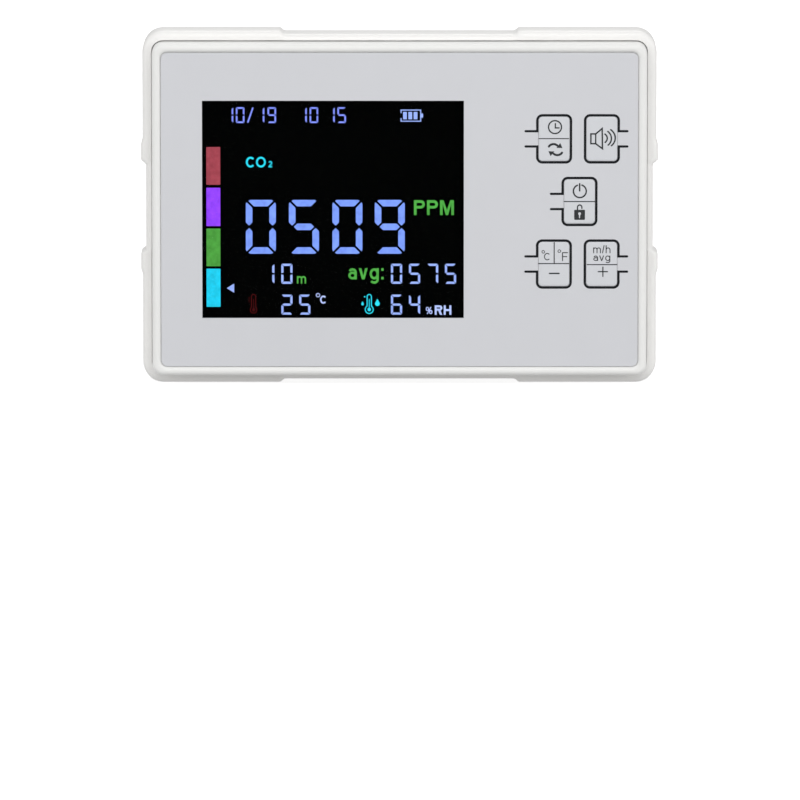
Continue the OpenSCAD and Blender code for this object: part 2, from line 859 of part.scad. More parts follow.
// A lead from the cell's end, at height z0, over and down into the plug at x1
module battery_lead(z0, rise, x1) {
    x0 = battery_x + battery_w / 2;
    y0 = cell_y + battery_t / 2;
    y1 = board_back_y + socket_t / 2;
    lead([[x0, y0, face_z + z0], [x0 + lead_straight, y0, face_z + z0],
          [x1, y1, face_z + z0 + rise], [x1, y1, face_z + plug_top_z]]);
}

module battery_lead_red() {
    color("red") battery_lead(-7, 3, socket_x + lead_gap / 2);
}

module battery_lead_black() {
    color("black") battery_lead(-11, 2, socket_x - lead_gap / 2);
}

// ---- Charging port ----

module port_along_x(x0, x1) {
    translate([x0, port_y, face_z]) rotate([90, 0, 90]) linear_extrude(x1 - x0) children();
}

module charging_port_shell() {
    end_x = port_tip_x + port_l;
    color("silver") difference() {
        port_along_x(port_tip_x, end_x) upright_slot(port_t, port_w);
        port_along_x(port_tip_x - past, end_x - 2 * port_wall)
            upright_slot(port_t - 2 * port_wall, port_w - 2 * port_wall);
    }
}

module charging_port_tongue() {
    tongue = [0.7, 6.7];
    tongue_sunk = 0.8;
    color("black")
        port_along_x(port_tip_x + tongue_sunk, port_tip_x + port_l - 2 * port_wall)
            square(tongue, center = true);
}

front_bezel();
mid_frame();
rear_cover();
front_overlay();
display_window();
hanger_pocket();
dust_filter();
display_gasket();
display_glass();
display_backlight();
display_tray();
display_pins();
main_board();
board_screws();
controller_chip();
charger_chip();
board_capacitors();
switch_bases();
switch_domes();
switch_leads();
gas_sensor_base();
gas_sensor_chamber();
gas_sensor_filter();
gas_sensor_pins();
humidity_sensor();
buzzer();
battery_cell();
battery_pad();
battery_lead_red();
battery_lead_black();
battery_plug();
battery_socket();
charging_port_shell();
charging_port_tongue();
key_clock_face();
key_clock_plunger();
key_clock_stem();
key_sound_face();
key_sound_plunger();
key_sound_stem();
key_power_face();
key_power_plunger();
key_power_stem();
key_unit_face();
key_unit_plunger();
key_unit_stem();
key_average_face();
key_average_plunger();
key_average_stem();
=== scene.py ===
"""Looks of a carbon dioxide monitor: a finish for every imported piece, and the pieces that need finer shapes.

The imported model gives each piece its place. Flat work, such as the printing and the lit figures, is drawn
in millimetres from the middle of the face, x to the right and z up for someone who faces the display.
Finished meshes are in metres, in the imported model's frame.
"""

import json
import logging
import math
from dataclasses import dataclass
from enum import Enum

import bmesh
import bpy
from mathutils import Matrix, Vector
from mathutils.geometry import tessellate_polygon


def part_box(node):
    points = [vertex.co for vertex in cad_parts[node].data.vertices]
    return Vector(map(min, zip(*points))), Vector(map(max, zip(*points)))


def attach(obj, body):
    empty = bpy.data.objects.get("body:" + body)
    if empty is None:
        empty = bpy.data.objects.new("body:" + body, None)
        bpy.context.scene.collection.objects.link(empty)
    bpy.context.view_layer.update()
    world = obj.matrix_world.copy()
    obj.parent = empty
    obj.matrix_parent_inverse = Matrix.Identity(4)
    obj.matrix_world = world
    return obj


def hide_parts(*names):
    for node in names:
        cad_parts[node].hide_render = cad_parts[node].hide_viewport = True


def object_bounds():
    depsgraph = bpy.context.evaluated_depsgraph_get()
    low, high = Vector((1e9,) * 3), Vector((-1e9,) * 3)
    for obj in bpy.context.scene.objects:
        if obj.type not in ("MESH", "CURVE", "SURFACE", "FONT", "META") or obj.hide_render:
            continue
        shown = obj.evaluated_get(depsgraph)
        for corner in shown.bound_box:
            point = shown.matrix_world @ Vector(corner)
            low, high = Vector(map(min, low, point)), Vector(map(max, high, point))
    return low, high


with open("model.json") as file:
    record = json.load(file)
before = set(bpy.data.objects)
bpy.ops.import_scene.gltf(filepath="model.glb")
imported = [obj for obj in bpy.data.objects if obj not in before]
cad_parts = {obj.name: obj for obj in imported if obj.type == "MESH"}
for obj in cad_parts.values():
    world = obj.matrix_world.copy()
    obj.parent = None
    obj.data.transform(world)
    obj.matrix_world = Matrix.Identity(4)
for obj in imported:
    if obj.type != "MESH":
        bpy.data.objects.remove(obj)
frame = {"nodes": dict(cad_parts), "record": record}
CAD_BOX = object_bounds()

MM = 0.001
UPRIGHT = (math.pi / 2, 0.0, 0.0)
LOG = logging.getLogger("monitor")
Point = tuple[float, float]
Colour = tuple[float, float, float]


def paint(red: int, green: int, blue: int) -> Colour:
    """Turns a colour on the usual 0 to 255 scale into linear light.

    Args:
        red, green, blue: The channels, from 0 to 255.

    Returns:
        The same colour as linear fractions.
    """
    def linear(channel: int) -> float:
        """Undoes the display curve of one channel."""
        share = channel / 255
        return share / 12.92 if share <= 0.04045 else ((share + 0.055) / 1.055) ** 2.4
    return linear(red), linear(green), linear(blue)


def middle_of_face() -> Vector:
    """The point on the overlay's front surface from which flat work is measured."""
    low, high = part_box("front_overlay")
    return Vector(((low.x + high.x) / 2, low.y, (low.z + high.z) / 2))


def into_scene(name: str, data: bpy.types.ID) -> bpy.types.Object:
    """Adds an object to the scene.

    Args:
        name: The object's name.
        data: The mesh, lamp or camera that it holds.

    Returns:
        The object.
    """
    made = bpy.data.objects.new(name, data)
    bpy.context.scene.collection.objects.link(made)
    return made


def finished_mesh(shape: bmesh.types.BMesh, name: str) -> bpy.types.Mesh:
    """Turns a shape's faces outwards, makes a mesh of it and frees the shape.

    Args:
        shape: The shape, made of closed parts.
        name: The mesh's name.

    Returns:
        The mesh.
    """
    bmesh.ops.recalc_face_normals(shape, faces=shape.faces)
    data = bpy.data.meshes.new(name)
    shape.to_mesh(data)
    shape.free()
    return data


# ---- Node trees ----

class Value:
    """A node socket that takes part in arithmetic, where each operation adds a Math node."""

    def __init__(self, nodes: "Nodes", socket: bpy.types.NodeSocket) -> None:
        """Wraps one output socket of a tree."""
        self.nodes = nodes
        self.socket = socket

    def _math(self, operation: str, first: "Value | float", second: "Value | float" = 0.0) -> "Value":
        """Adds a Math node for an operation and gives its result."""
        return self.nodes.node("ShaderNodeMath", {"operation": operation}, {0: first, 1: second})

    def __add__(self, other: "Value | float") -> "Value":
        """Sum."""
        return self._math("ADD", self, other)

    __radd__ = __add__

    def __sub__(self, other: "Value | float") -> "Value":
        """Difference."""
        return self._math("SUBTRACT", self, other)

    def __rsub__(self, other: float) -> "Value":
        """Difference from a number."""
        return self._math("SUBTRACT", other, self)

    def __mul__(self, other: "Value | float") -> "Value":
        """Product."""
        return self._math("MULTIPLY", self, other)

    __rmul__ = __mul__

    def __truediv__(self, other: "Value | float") -> "Value":
        """Quotient."""
        return self._math("DIVIDE", self, other)

    def size(self) -> "Value":
        """The number without its sign."""
        return self._math("ABSOLUTE", self)

    def sign(self) -> "Value":
        """1 or -1, as the number is above or below zero."""
        return self._math("SIGN", self)

    def wave(self) -> "Value":
        """Sine."""
        return self._math("SINE", self)


class Nodes:
    """A node tree that is built by naming node types, settings and socket values."""

    def __init__(self, tree: bpy.types.NodeTree) -> None:
        """Takes the tree to build in."""
        self.tree = tree

    def feed(self, socket: bpy.types.NodeSocket, given: object) -> None:
        """Links a value to a socket, or sets the socket's own value.

        Args:
            socket: The input socket.
            given: A value to link, or a number, vector, colour or object to set.
        """
        if isinstance(given, Value):
            self.tree.links.new(given.socket, socket)
        elif socket.type == "RGBA" and len(given) == 3:
            socket.default_value = (*given, 1.0)
        else:
            socket.default_value = given

    def node(self, kind: str, settings: dict | None = None, inputs: dict | None = None,
             output: int | str = 0) -> Value:
        """Adds one node.

        Args:
            kind: The node's type name.
            settings: Properties of the node, set before its sockets.
            inputs: What each input socket gets, by name or by number.
            output: The output socket that is wanted.

        Returns:
            That output, ready for arithmetic.
        """
        made = self.tree.nodes.new(kind)
        for name, setting in (settings or {}).items():
            setattr(made, name, setting)
        for name, given in (inputs or {}).items():
            self.feed(made.inputs[name], given)
        return Value(self, made.outputs[output])

    def between(self, value: Value, start: Value | float, end: Value | float,
                low: Value | float, high: Value | float, smooth: bool = False) -> Value:
        """Maps a value that goes from start to end onto low to high, and holds it there outside.

        Args:
            value: What is mapped.
            start, end: The range that it is read over.
            low, high: What it becomes at start and at end.
            smooth: Whether it eases in and out.

        Returns:
            The mapped value.
        """
        settings = {"clamp": True, "interpolation_type": "SMOOTHSTEP" if smooth else "LINEAR"}
        return self.node("ShaderNodeMapRange", settings,
                         {"Value": value, "From Min": start, "From Max": end,
                          "To Min": low, "To Max": high})


class Shader(Nodes):
    """A material with one Principled surface and patterns in the piece's own coordinates."""

    def __init__(self, name: str) -> None:
        """Makes the material and its surface.

        Args:
            name: The material's name.
        """
        self.material = bpy.data.materials.new(name)
        self.material.use_nodes = True
        super().__init__(self.material.node_tree)
        self.tree.nodes.clear()
        self.surface = self.tree.nodes.new("ShaderNodeBsdfPrincipled")
        output = self.tree.nodes.new("ShaderNodeOutputMaterial")
        self.tree.links.new(self.surface.outputs[0], output.inputs["Surface"])
        self.place = self.node("ShaderNodeTexCoord", output="Object")

    def give(self, **sockets: object) -> None:
        """Sets or links the surface's sockets, named with underscores for spaces."""
        for name, given in sockets.items():
            self.feed(self.surface.inputs[name.replace("_", " ")], given)

    def noise(self, size: float, detail: float = 2.0, stretch: tuple = (1.0, 1.0, 1.0)) -> Value:
        """A soft random pattern from 0 to 1.

        Args:
            size: How far apart its spots are, in millimetres.
            detail: How many finer layers it has.
            stretch: How much denser it is along each axis.

        Returns:
            The pattern.
        """
        place = self.node("ShaderNodeMapping", {}, {"Vector": self.place, "Scale": stretch})
        return self.node("ShaderNodeTexNoise", {},
                         {"Vector": place, "Scale": 1 / (size * MM), "Detail": detail})

    def shade(self, amount: Value, first: Colour, second: Colour) -> Value:
        """Mixes two colours by an amount."""
        return self.node("ShaderNodeMix", {"data_type": "RGBA"}, {0: amount, 6: first, 7: second},
                         output=2)

    def bump(self, height: Value, depth: float, strength: float = 1.0) -> Value:
        """Turns a height pattern, in units of depth millimetres, into a surface normal."""
        return self.node("ShaderNodeBump", {}, {"Strength": strength, "Distance": depth * MM,
                                                "Height": height}, output="Normal")


class ShapeTree(Nodes):
    """A Geometry Nodes tree with named inputs, and the means to run it."""

    def __init__(self, name: str, sizes: tuple[str, ...], profile: bool = False) -> None:
        """Makes the tree and its inputs.

        Args:
            name: The tree's name.
            sizes: Names of its number inputs.
            profile: Whether it also takes an object as its profile.
        """
        super().__init__(bpy.data.node_groups.new(name, "GeometryNodeTree"))
        face = self.tree.interface
        self.keys = {size: face.new_socket(size, in_out="INPUT", socket_type="NodeSocketFloat").identifier
                     for size in sizes}
        if profile:
            made = face.new_socket("Profile", in_out="INPUT", socket_type="NodeSocketObject")
            self.keys["Profile"] = made.identifier
        face.new_socket("Shape", in_out="OUTPUT", socket_type="NodeSocketGeometry")
        self.entry = self.tree.nodes.new("NodeGroupInput")
        self.exit = self.tree.nodes.new("NodeGroupOutput")

    def size(self, name: str) -> Value:
        """One of the tree's named inputs."""
        return Value(self, self.entry.outputs[name])

    def close(self, shape: Value, material: bpy.types.Material) -> None:
        """Ends the tree: instances made real, and the material set.

        Args:
            shape: The geometry that the tree gives.
            material: The material of all its faces.
        """
        real = self.node("GeometryNodeRealizeInstances", {}, {"Geometry": shape})
        dressed = self.node("GeometryNodeSetMaterial", {}, {"Geometry": real, "Material": material})
        self.feed(self.exit.inputs["Shape"], dressed)

    def run(self, values: dict[str, object]) -> bpy.types.Mesh:
        """Runs the tree once.

        Args:
            values: What each named input gets.

        Returns:
            The result as a plain mesh.
        """
        carrier = into_scene(self.tree.name, bpy.data.meshes.new(self.tree.name))
        modifier = carrier.modifiers.new("Shape", "NODES")
        modifier.node_group = self.tree
        for name, value in values.items():
            modifier[self.keys[name]] = value
        depsgraph = bpy.context.evaluated_depsgraph_get()
        mesh = bpy.data.meshes.new_from_object(carrier.evaluated_get(depsgraph))
        carrier.modifiers.remove(modifier)
        bpy.data.objects.remove(carrier)
        return mesh


# ---- Finishes ----

def scaled(colour: Colour, share: float, more: float = 0.0) -> Colour:
    """The colour with each channel scaled, then raised by the same amount."""
    return tuple(share * channel + more for channel in colour)


class Finish:
    """The surface of a piece, kept apart from its shape."""

    def dress(self, shader: Shader) -> None:
        """Sets a material's surface; each kind of finish has its own way."""
        raise NotImplementedError

    def material(self, name: str) -> bpy.types.Material:
        """Builds the material.

        Args:
            name: The material's name.

        Returns:
            The material.
        """
        shader = Shader(name)
        self.dress(shader)
        return shader.material


@dataclass(frozen=True)
class Moulded(Finish):
    """Injection-moulded plastic with the fine grain of its tool and faint flow marks."""

    colour: Colour
    roughness: float = 0.42
    gloss: float = 0.4
    grain: float = 0.22
    grain_depth: float = 0.004

    def dress(self, shader: Shader) -> None:
        """Grains the plastic and clouds it faintly.

        Args:
            shader: The material that is worked on.
        """
        flow = shader.noise(26.0, 3.0, (1.0, 1.0, 0.6))
        grain = shader.noise(self.grain, 2.0)
        darker = scaled(self.colour, 0.965)
        shader.give(Base_Color=shader.shade(flow, darker, self.colour),
                    Roughness=self.roughness + 0.10 * (grain - 0.5) + 0.05 * (flow - 0.5),
                    Specular_IOR_Level=self.gloss,
                    Normal=shader.bump(grain, self.grain_depth, 0.6))


@dataclass(frozen=True)
class PrintedFilm(Finish):
    """Matt polyester film, printed from behind, with a fine velvet texture."""

    colour: Colour
    texture: float = 0.12
    texture_depth: float = 0.0025

    def dress(self, shader: Shader) -> None:
        """Gives the film its velvet and its print.

        Args:
            shader: The material that is worked on.
        """
        velvet = shader.noise(self.texture, 1.0)
        print_cloud = shader.noise(9.0, 2.0)
        darker = scaled(self.colour, 0.972)
        shader.give(Base_Color=shader.shade(print_cloud, darker, self.colour),
                    Roughness=0.5 + 0.16 * velvet,
                    Specular_IOR_Level=0.32,
                    Normal=shader.bump(velvet, self.texture_depth, 0.5))


@dataclass(frozen=True)
class Ink(Finish):
    """Screen-printed ink, a little uneven in its cover."""

    colour: Colour

    def dress(self, shader: Shader) -> None:
        """Thins the ink here and there.

        Args:
            shader: The material that is worked on.
        """
        cover = shader.noise(0.35, 3.0)
        thin = scaled(self.colour, 1.3, 0.002)
        shader.give(Base_Color=shader.shade(cover, self.colour, thin),
                    Roughness=0.52 + 0.14 * cover,
                    Specular_IOR_Level=0.12)


@dataclass(frozen=True)
class ClearPane(Finish):
    """A thin clear pane, nearly all light through, with the haze of a wiped surface."""

    opacity: float = 0.12

    def dress(self, shader: Shader) -> None:
        """Lets light through, with a haze.

        Args:
            shader: The material that is worked on.
        """
        haze = shader.noise(6.0, 3.0)
        shader.give(Base_Color=shader.shade(haze, (0.0004, 0.0004, 0.0005), (0.0010, 0.0010, 0.0012)),
                    Roughness=0.24 + 0.06 * haze,
                    Specular_IOR_Level=0.03,
                    Alpha=self.opacity)


@dataclass(frozen=True)
class DarkGlass(Finish):
    """The display's own glass: dead black, with a trace of its ribbed polariser."""

    def dress(self, shader: Shader) -> None:
        """Blackens the glass and ribs it.

        Args:
            shader: The material that is worked on.
        """
        ribs = shader.noise(0.5, 1.0, (1.0, 1.0, 0.05))
        shader.give(Base_Color=shader.shade(ribs, (0.0001, 0.0003, 0.0002), (0.0003, 0.0006, 0.0005)),
                    Roughness=0.30 + 0.08 * ribs,
                    Specular_IOR_Level=0.004)


@dataclass(frozen=True)
class Lit(Finish):
    """A lit segment: light through a coloured window, a little uneven from place to place."""

    colour: Colour
    strength: float = 1.08

    def dress(self, shader: Shader) -> None:
        """Lights the segment.

        Args:
            shader: The material that is worked on.
        """
        glow = shader.noise(1.6, 2.0)
        weaker = scaled(self.colour, 0.90)
        body = scaled(self.colour, 0.03)
        shader.give(Base_Color=shader.shade(glow, body, self.colour),
                    Emission_Color=shader.shade(glow, weaker, self.colour),
                    Emission_Strength=self.strength,
                    Roughness=0.5 + 0.1 * glow,
                    Specular_IOR_Level=0.0)


class Grain(Enum):
    """How a metal surface was worked."""

    BRUSHED = (0.08, (1.0, 1.0, 0.04))
    ROLLED = (0.9, (0.12, 1.0, 1.0))
    PLATED = (0.3, (1.0, 1.0, 1.0))


@dataclass(frozen=True)
class Metal(Finish):
    """Bare or plated metal."""

    colour: Colour
    roughness: float = 0.3
    grain: Grain = Grain.PLATED

    def dress(self, shader: Shader) -> None:
        """Works and stains the metal.

        Args:
            shader: The material that is worked on.
        """
        size, stretch = self.grain.value
        lines = shader.noise(size, 3.0, stretch)
        stain = shader.noise(3.0, 2.0)
        darker = scaled(self.colour, 0.82)
        shader.give(Base_Color=shader.shade(stain, darker, self.colour),
                    Metallic=1.0,
                    Roughness=self.roughness + 0.14 * (lines - 0.5) + 0.08 * stain,
                    Normal=shader.bump(lines, 0.003, 0.4))


@dataclass(frozen=True)
class Foam(Finish):
    """Foam or felt with open cells, with painted shade in the cells."""

    colour: Colour
    cell: float = 0.35

    def dress(self, shader: Shader) -> None:
        """Opens the foam into cells, and paints shade into the bottom of each cell.

        Args:
            shader: The material that is worked on.
        """
        cells = shader.node("ShaderNodeTexVoronoi", {"feature": "F1"},
                            {"Vector": shader.place, "Scale": 1 / (self.cell * MM)}, "Distance")
        # Painted shade: the colour falls to less than half towards each cell's middle, where the bump sinks
        # the cell into a pit.
        darker = scaled(self.colour, 0.45)
        shader.give(Base_Color=shader.shade(cells, darker, self.colour),
                    Roughness=0.85 + 0.1 * cells,
                    Specular_IOR_Level=0.15,
                    Normal=shader.bump(cells, 0.06, 0.7))


@dataclass(frozen=True)
class SolderMask(Finish):
    """A circuit board: lacquer over copper tracks that run both ways."""

    mask: Colour
    over_copper: Colour
    pitch: float = 1.27

    def dress(self, shader: Shader) -> None:
        """Lays lacquer over the tracks.

        Args:
            shader: The material that is worked on.
        """
        cell = shader.node("ShaderNodeTexVoronoi", {"feature": "F1", "distance": "CHEBYCHEV"},
                           {"Vector": shader.place, "Scale": 1 / (self.pitch * 3 * MM)}, "Distance")
        track = shader.between((cell * 30.0).wave(), 0.2, 0.5, 0.0, 1.0)
        shader.give(Base_Color=shader.shade(track, self.mask, self.over_copper),
                    Roughness=0.28 + 0.1 * track,
                    Specular_IOR_Level=0.5,
                    Normal=shader.bump(track, 0.03, 0.6))


@dataclass(frozen=True)
class Rubber(Finish):
    """Soft insulation or sleeving with a dull bloom."""

    colour: Colour

    def dress(self, shader: Shader) -> None:
        """Dulls the rubber with a bloom.

        Args:
            shader: The material that is worked on.
        """
        bloom = shader.noise(1.1, 3.0)
        duller = scaled(self.colour, 0.75, 0.01)
        shader.give(Base_Color=shader.shade(bloom, duller, self.colour),
                    Roughness=0.42 + 0.18 * bloom,
                    Specular_IOR_Level=0.35,
                    Normal=shader.bump(bloom, 0.01, 0.4))


@dataclass(frozen=True)
class Foil(Finish):
    """The laminated foil of a pouch cell, creased and lightly quilted, with painted shade in its creases."""

    colour: Colour

    def dress(self, shader: Shader) -> None:
        """Creases and quilts the foil, and paints shade into the hollows of the creases.

        Args:
            shader: The material that is worked on.
        """
        creases = shader.noise(5.0, 5.0, (1.0, 1.0, 1.6))
        weave = shader.noise(0.3, 1.0)
        # Painted shade: the foil is darker where the crease pattern is low, which the bump makes the hollows
        # of the creases.
        darker = scaled(self.colour, 0.86)
        shader.give(Base_Color=shader.shade(creases, darker, self.colour),
                    Metallic=0.85 + 0.1 * weave,
                    Roughness=0.34 + 0.16 * creases,
                    Normal=shader.bump(creases + 0.12 * weave, 0.15, 0.5))


@dataclass(frozen=True)
class Thread(Finish):
    """Woven thread of the dust filter, or a felted sheet under it."""

    colour: Colour
    fibre: float = 0.12

    def dress(self, shader: Shader) -> None:
        """Roughens the thread and dusts it.

        Args:
            shader: The material that is worked on.
        """
        fibre = shader.noise(self.fibre, 4.0)
        dust = shader.noise(7.0, 3.0)
        darker = scaled(self.colour, 0.7)
        shader.give(Base_Color=shader.shade(fibre * 0.7 + dust * 0.3, darker, self.colour),
                    Roughness=0.78 + 0.16 * fibre,
                    Specular_IOR_Level=0.2,
                    Normal=shader.bump(fibre, 0.02, 0.6))


@dataclass(frozen=True)
class StudioFloor(Finish):
    """The matt top of a light table."""

    colour: Colour
    glow: float

    def dress(self, shader: Shader) -> None:
        """Gives the floor a fine tooth and its glow.

        Args:
            shader: The material that is worked on.
        """
        tooth = shader.noise(0.8, 3.0)
        darker = scaled(self.colour, 0.99)
        shader.give(Base_Color=shader.shade(tooth, darker, self.colour),
                    Roughness=0.85 + 0.1 * tooth,
                    Specular_IOR_Level=0.1,
                    Emission_Color=(1.0, 1.0, 1.0),
                    Emission_Strength=self.glow)


SLOT_FINISHES = {
    "case_white": Moulded(paint(233, 233, 231)),
    "frame_white": Moulded(paint(238, 237, 235), roughness=0.36, gloss=0.45),
    "overlay_film": PrintedFilm(paint(207, 208, 212)),
    "key_film": PrintedFilm(paint(208, 210, 214)),
    "clear_window": ClearPane(),
    "display_black": DarkGlass(),
    "dark_plastic": Moulded(paint(141, 141, 138), roughness=0.55),
    "filter_mesh": Thread(paint(148, 143, 137)),
    "black_foam": Foam(paint(44, 44, 46)),
    "diffuser_white": Moulded(paint(236, 236, 230), roughness=0.6, grain=0.5),
    "black_plastic": Moulded(paint(38, 38, 40), roughness=0.5),
    "tinned_metal": Metal(paint(205, 205, 200), 0.26, Grain.PLATED),
    "board_green": SolderMask(paint(20, 84, 50), paint(46, 124, 74)),
    "screw_steel": Metal(paint(190, 192, 196), 0.32, Grain.PLATED),
    "chip_black": Moulded(paint(42, 42, 45), roughness=0.62, grain=0.12, grain_depth=0.006),
    "can_aluminium": Metal(paint(214, 215, 217), 0.24, Grain.BRUSHED),
    "gold_cavity": Metal(paint(222, 184, 104), 0.3, Grain.ROLLED),
    "white_membrane": Thread(paint(240, 240, 236), 0.2),
    "pouch_silver": Foil(paint(200, 202, 206)),
    "wire_red": Rubber(paint(178, 26, 22)),
    "wire_black": Rubber(paint(26, 26, 28)),
    "connector_white": Moulded(paint(238, 234, 220), roughness=0.5),
    "plunger_white": Moulded(paint(232, 232, 230)),
}


# ---- Flat work ----

@dataclass(frozen=True)
class Shape:
    """A flat shape: its outline and the holes in it."""

    outline: list[Point]
    holes: tuple[list[Point], ...] = ()


def arc(centre: Point, radius: float, start: float, end: float, steps: int = 16) -> list[Point]:
    """Points along an arc.

    Args:
        centre, radius: The arc's circle.
        start, end: Where it starts and ends, in degrees from the right, turning left.
        steps: Number of stretches.

    Returns:
        The points, both ends included.
    """
    turns = [math.radians(start + (end - start) * step / steps) for step in range(steps + 1)]
    return [(centre[0] + radius * math.cos(turn), centre[1] + radius * math.sin(turn)) for turn in turns]


def circle(centre: Point, radius: float, steps: int = 32) -> list[Point]:
    """Points round a circle."""
    return arc(centre, radius, 0, 360, steps)[:-1]


def arc_through(first: Point, middle: Point, last: Point, steps: int = 14) -> list[Point]:
    """Points along the arc through three points.

    Args:
        first, middle, last: The points, in order along the arc.
        steps: Number of stretches.

    Returns:
        The points, both ends included.
    """
    a, b, c = Vector(first), Vector(middle), Vector(last)
    twice = 2 * (a.x * (b.y - c.y) + b.x * (c.y - a.y) + c.x * (a.y - b.y))
    squares = [p.length_squared for p in (a, b, c)]
    x = (squares[0] * (b.y - c.y) + squares[1] * (c.y - a.y) + squares[2] * (a.y - b.y)) / twice
    z = (squares[0] * (c.x - b.x) + squares[1] * (a.x - c.x) + squares[2] * (b.x - a.x)) / twice
    angles = [math.degrees(math.atan2(p.y - z, p.x - x)) for p in (a, b, c)]
    end = angles[2] + 360 * round((angles[1] - angles[2]) / 360)
    start = angles[0] + 360 * round((angles[1] - angles[0]) / 360)
    return arc((x, z), (a - Vector((x, z))).length, start, end, steps)


def rounded(centre: Point, width: float, height: float, corner: float, steps: int = 6) -> list[Point]:
    """Points round a rectangle with round corners, turning left from its right side.

    Args:
        centre: Its middle.
        width, height, corner: Its size and the radius of its corners.
        steps: Stretches in each corner.

    Returns:
        The points.
    """
    points = []
    for quarter, (sx, sz) in enumerate(((1, 1), (-1, 1), (-1, -1), (1, -1))):
        middle = (centre[0] + sx * (width / 2 - corner), centre[1] + sz * (height / 2 - corner))
        points += arc(middle, corner, 90 * quarter, 90 * quarter + 90, steps)
    return points


def moved(points: list[Point], by: Point) -> list[Point]:
    """The points, shifted."""
    return [(x + by[0], z + by[1]) for x, z in points]


def stroke(path: list[Point], width: float, closed: bool = False, round_ends: bool = False) -> Shape:
    """A line of even width along a path, with mitred corners.

    Args:
        path: The middle of the line.
        width: Its width.
        closed: Whether it goes on from its last point to its first.
        round_ends: Whether its ends are half discs.

    Returns:
        The line as a shape.
    """
    spots = [Vector(point) for point in path]
    count = len(spots)
    left, right = [], []
    for i, here in enumerate(spots):
        ways = []
        if closed or i > 0:
            ways.append((here - spots[i - 1]).normalized())
        if closed or i < count - 1:
            ways.append((spots[(i + 1) % count] - here).normalized())
        normals = [Vector((-way.y, way.x)) for way in ways]
        mitre = (normals[0] + normals[-1]).normalized()
        reach = mitre * (width / 2 / mitre.dot(normals[0]))
        left.append(tuple(here + reach))
        right.append(tuple(here - reach))
    if closed:
        longer, shorter = sorted((left, right), key=outline_length, reverse=True)
        return Shape(longer, (shorter,))
    if not round_ends:
        return Shape(left + right[::-1])
    way = spots[-1] - spots[-2]
    far = math.degrees(math.atan2(way.y, way.x))
    way = spots[0] - spots[1]
    near = math.degrees(math.atan2(way.y, way.x))
    far_cap = arc(path[-1], width / 2, far + 90, far - 90, 8)[1:-1]
    near_cap = arc(path[0], width / 2, near + 90, near - 90, 8)[1:-1]
    return Shape(left + far_cap + right[::-1] + near_cap)


def outline_length(points: list[Point]) -> float:
    """Length round a closed outline."""
    return sum(math.dist(a, b) for a, b in zip(points, points[1:] + points[:1]))


def oval(left: float, right: float, low: float, high: float, start: float = 0, end: float = 360,
         steps: int = 24) -> list[Point]:
    """Points along an oval that fills a box.

    Args:
        left, right, low, high: The box.
        start, end: Where the points start and end, in degrees from the right, turning left.
        steps: Number of stretches.

    Returns:
        The points, both ends included.
    """
    turns = [math.radians(start + (end - start) * step / steps) for step in range(steps + 1)]
    reach_x, reach_z = (right - left) / 2, (high - low) / 2
    return [(left + reach_x * (1 + math.cos(turn)), low + reach_z * (1 + math.sin(turn))) for turn in turns]


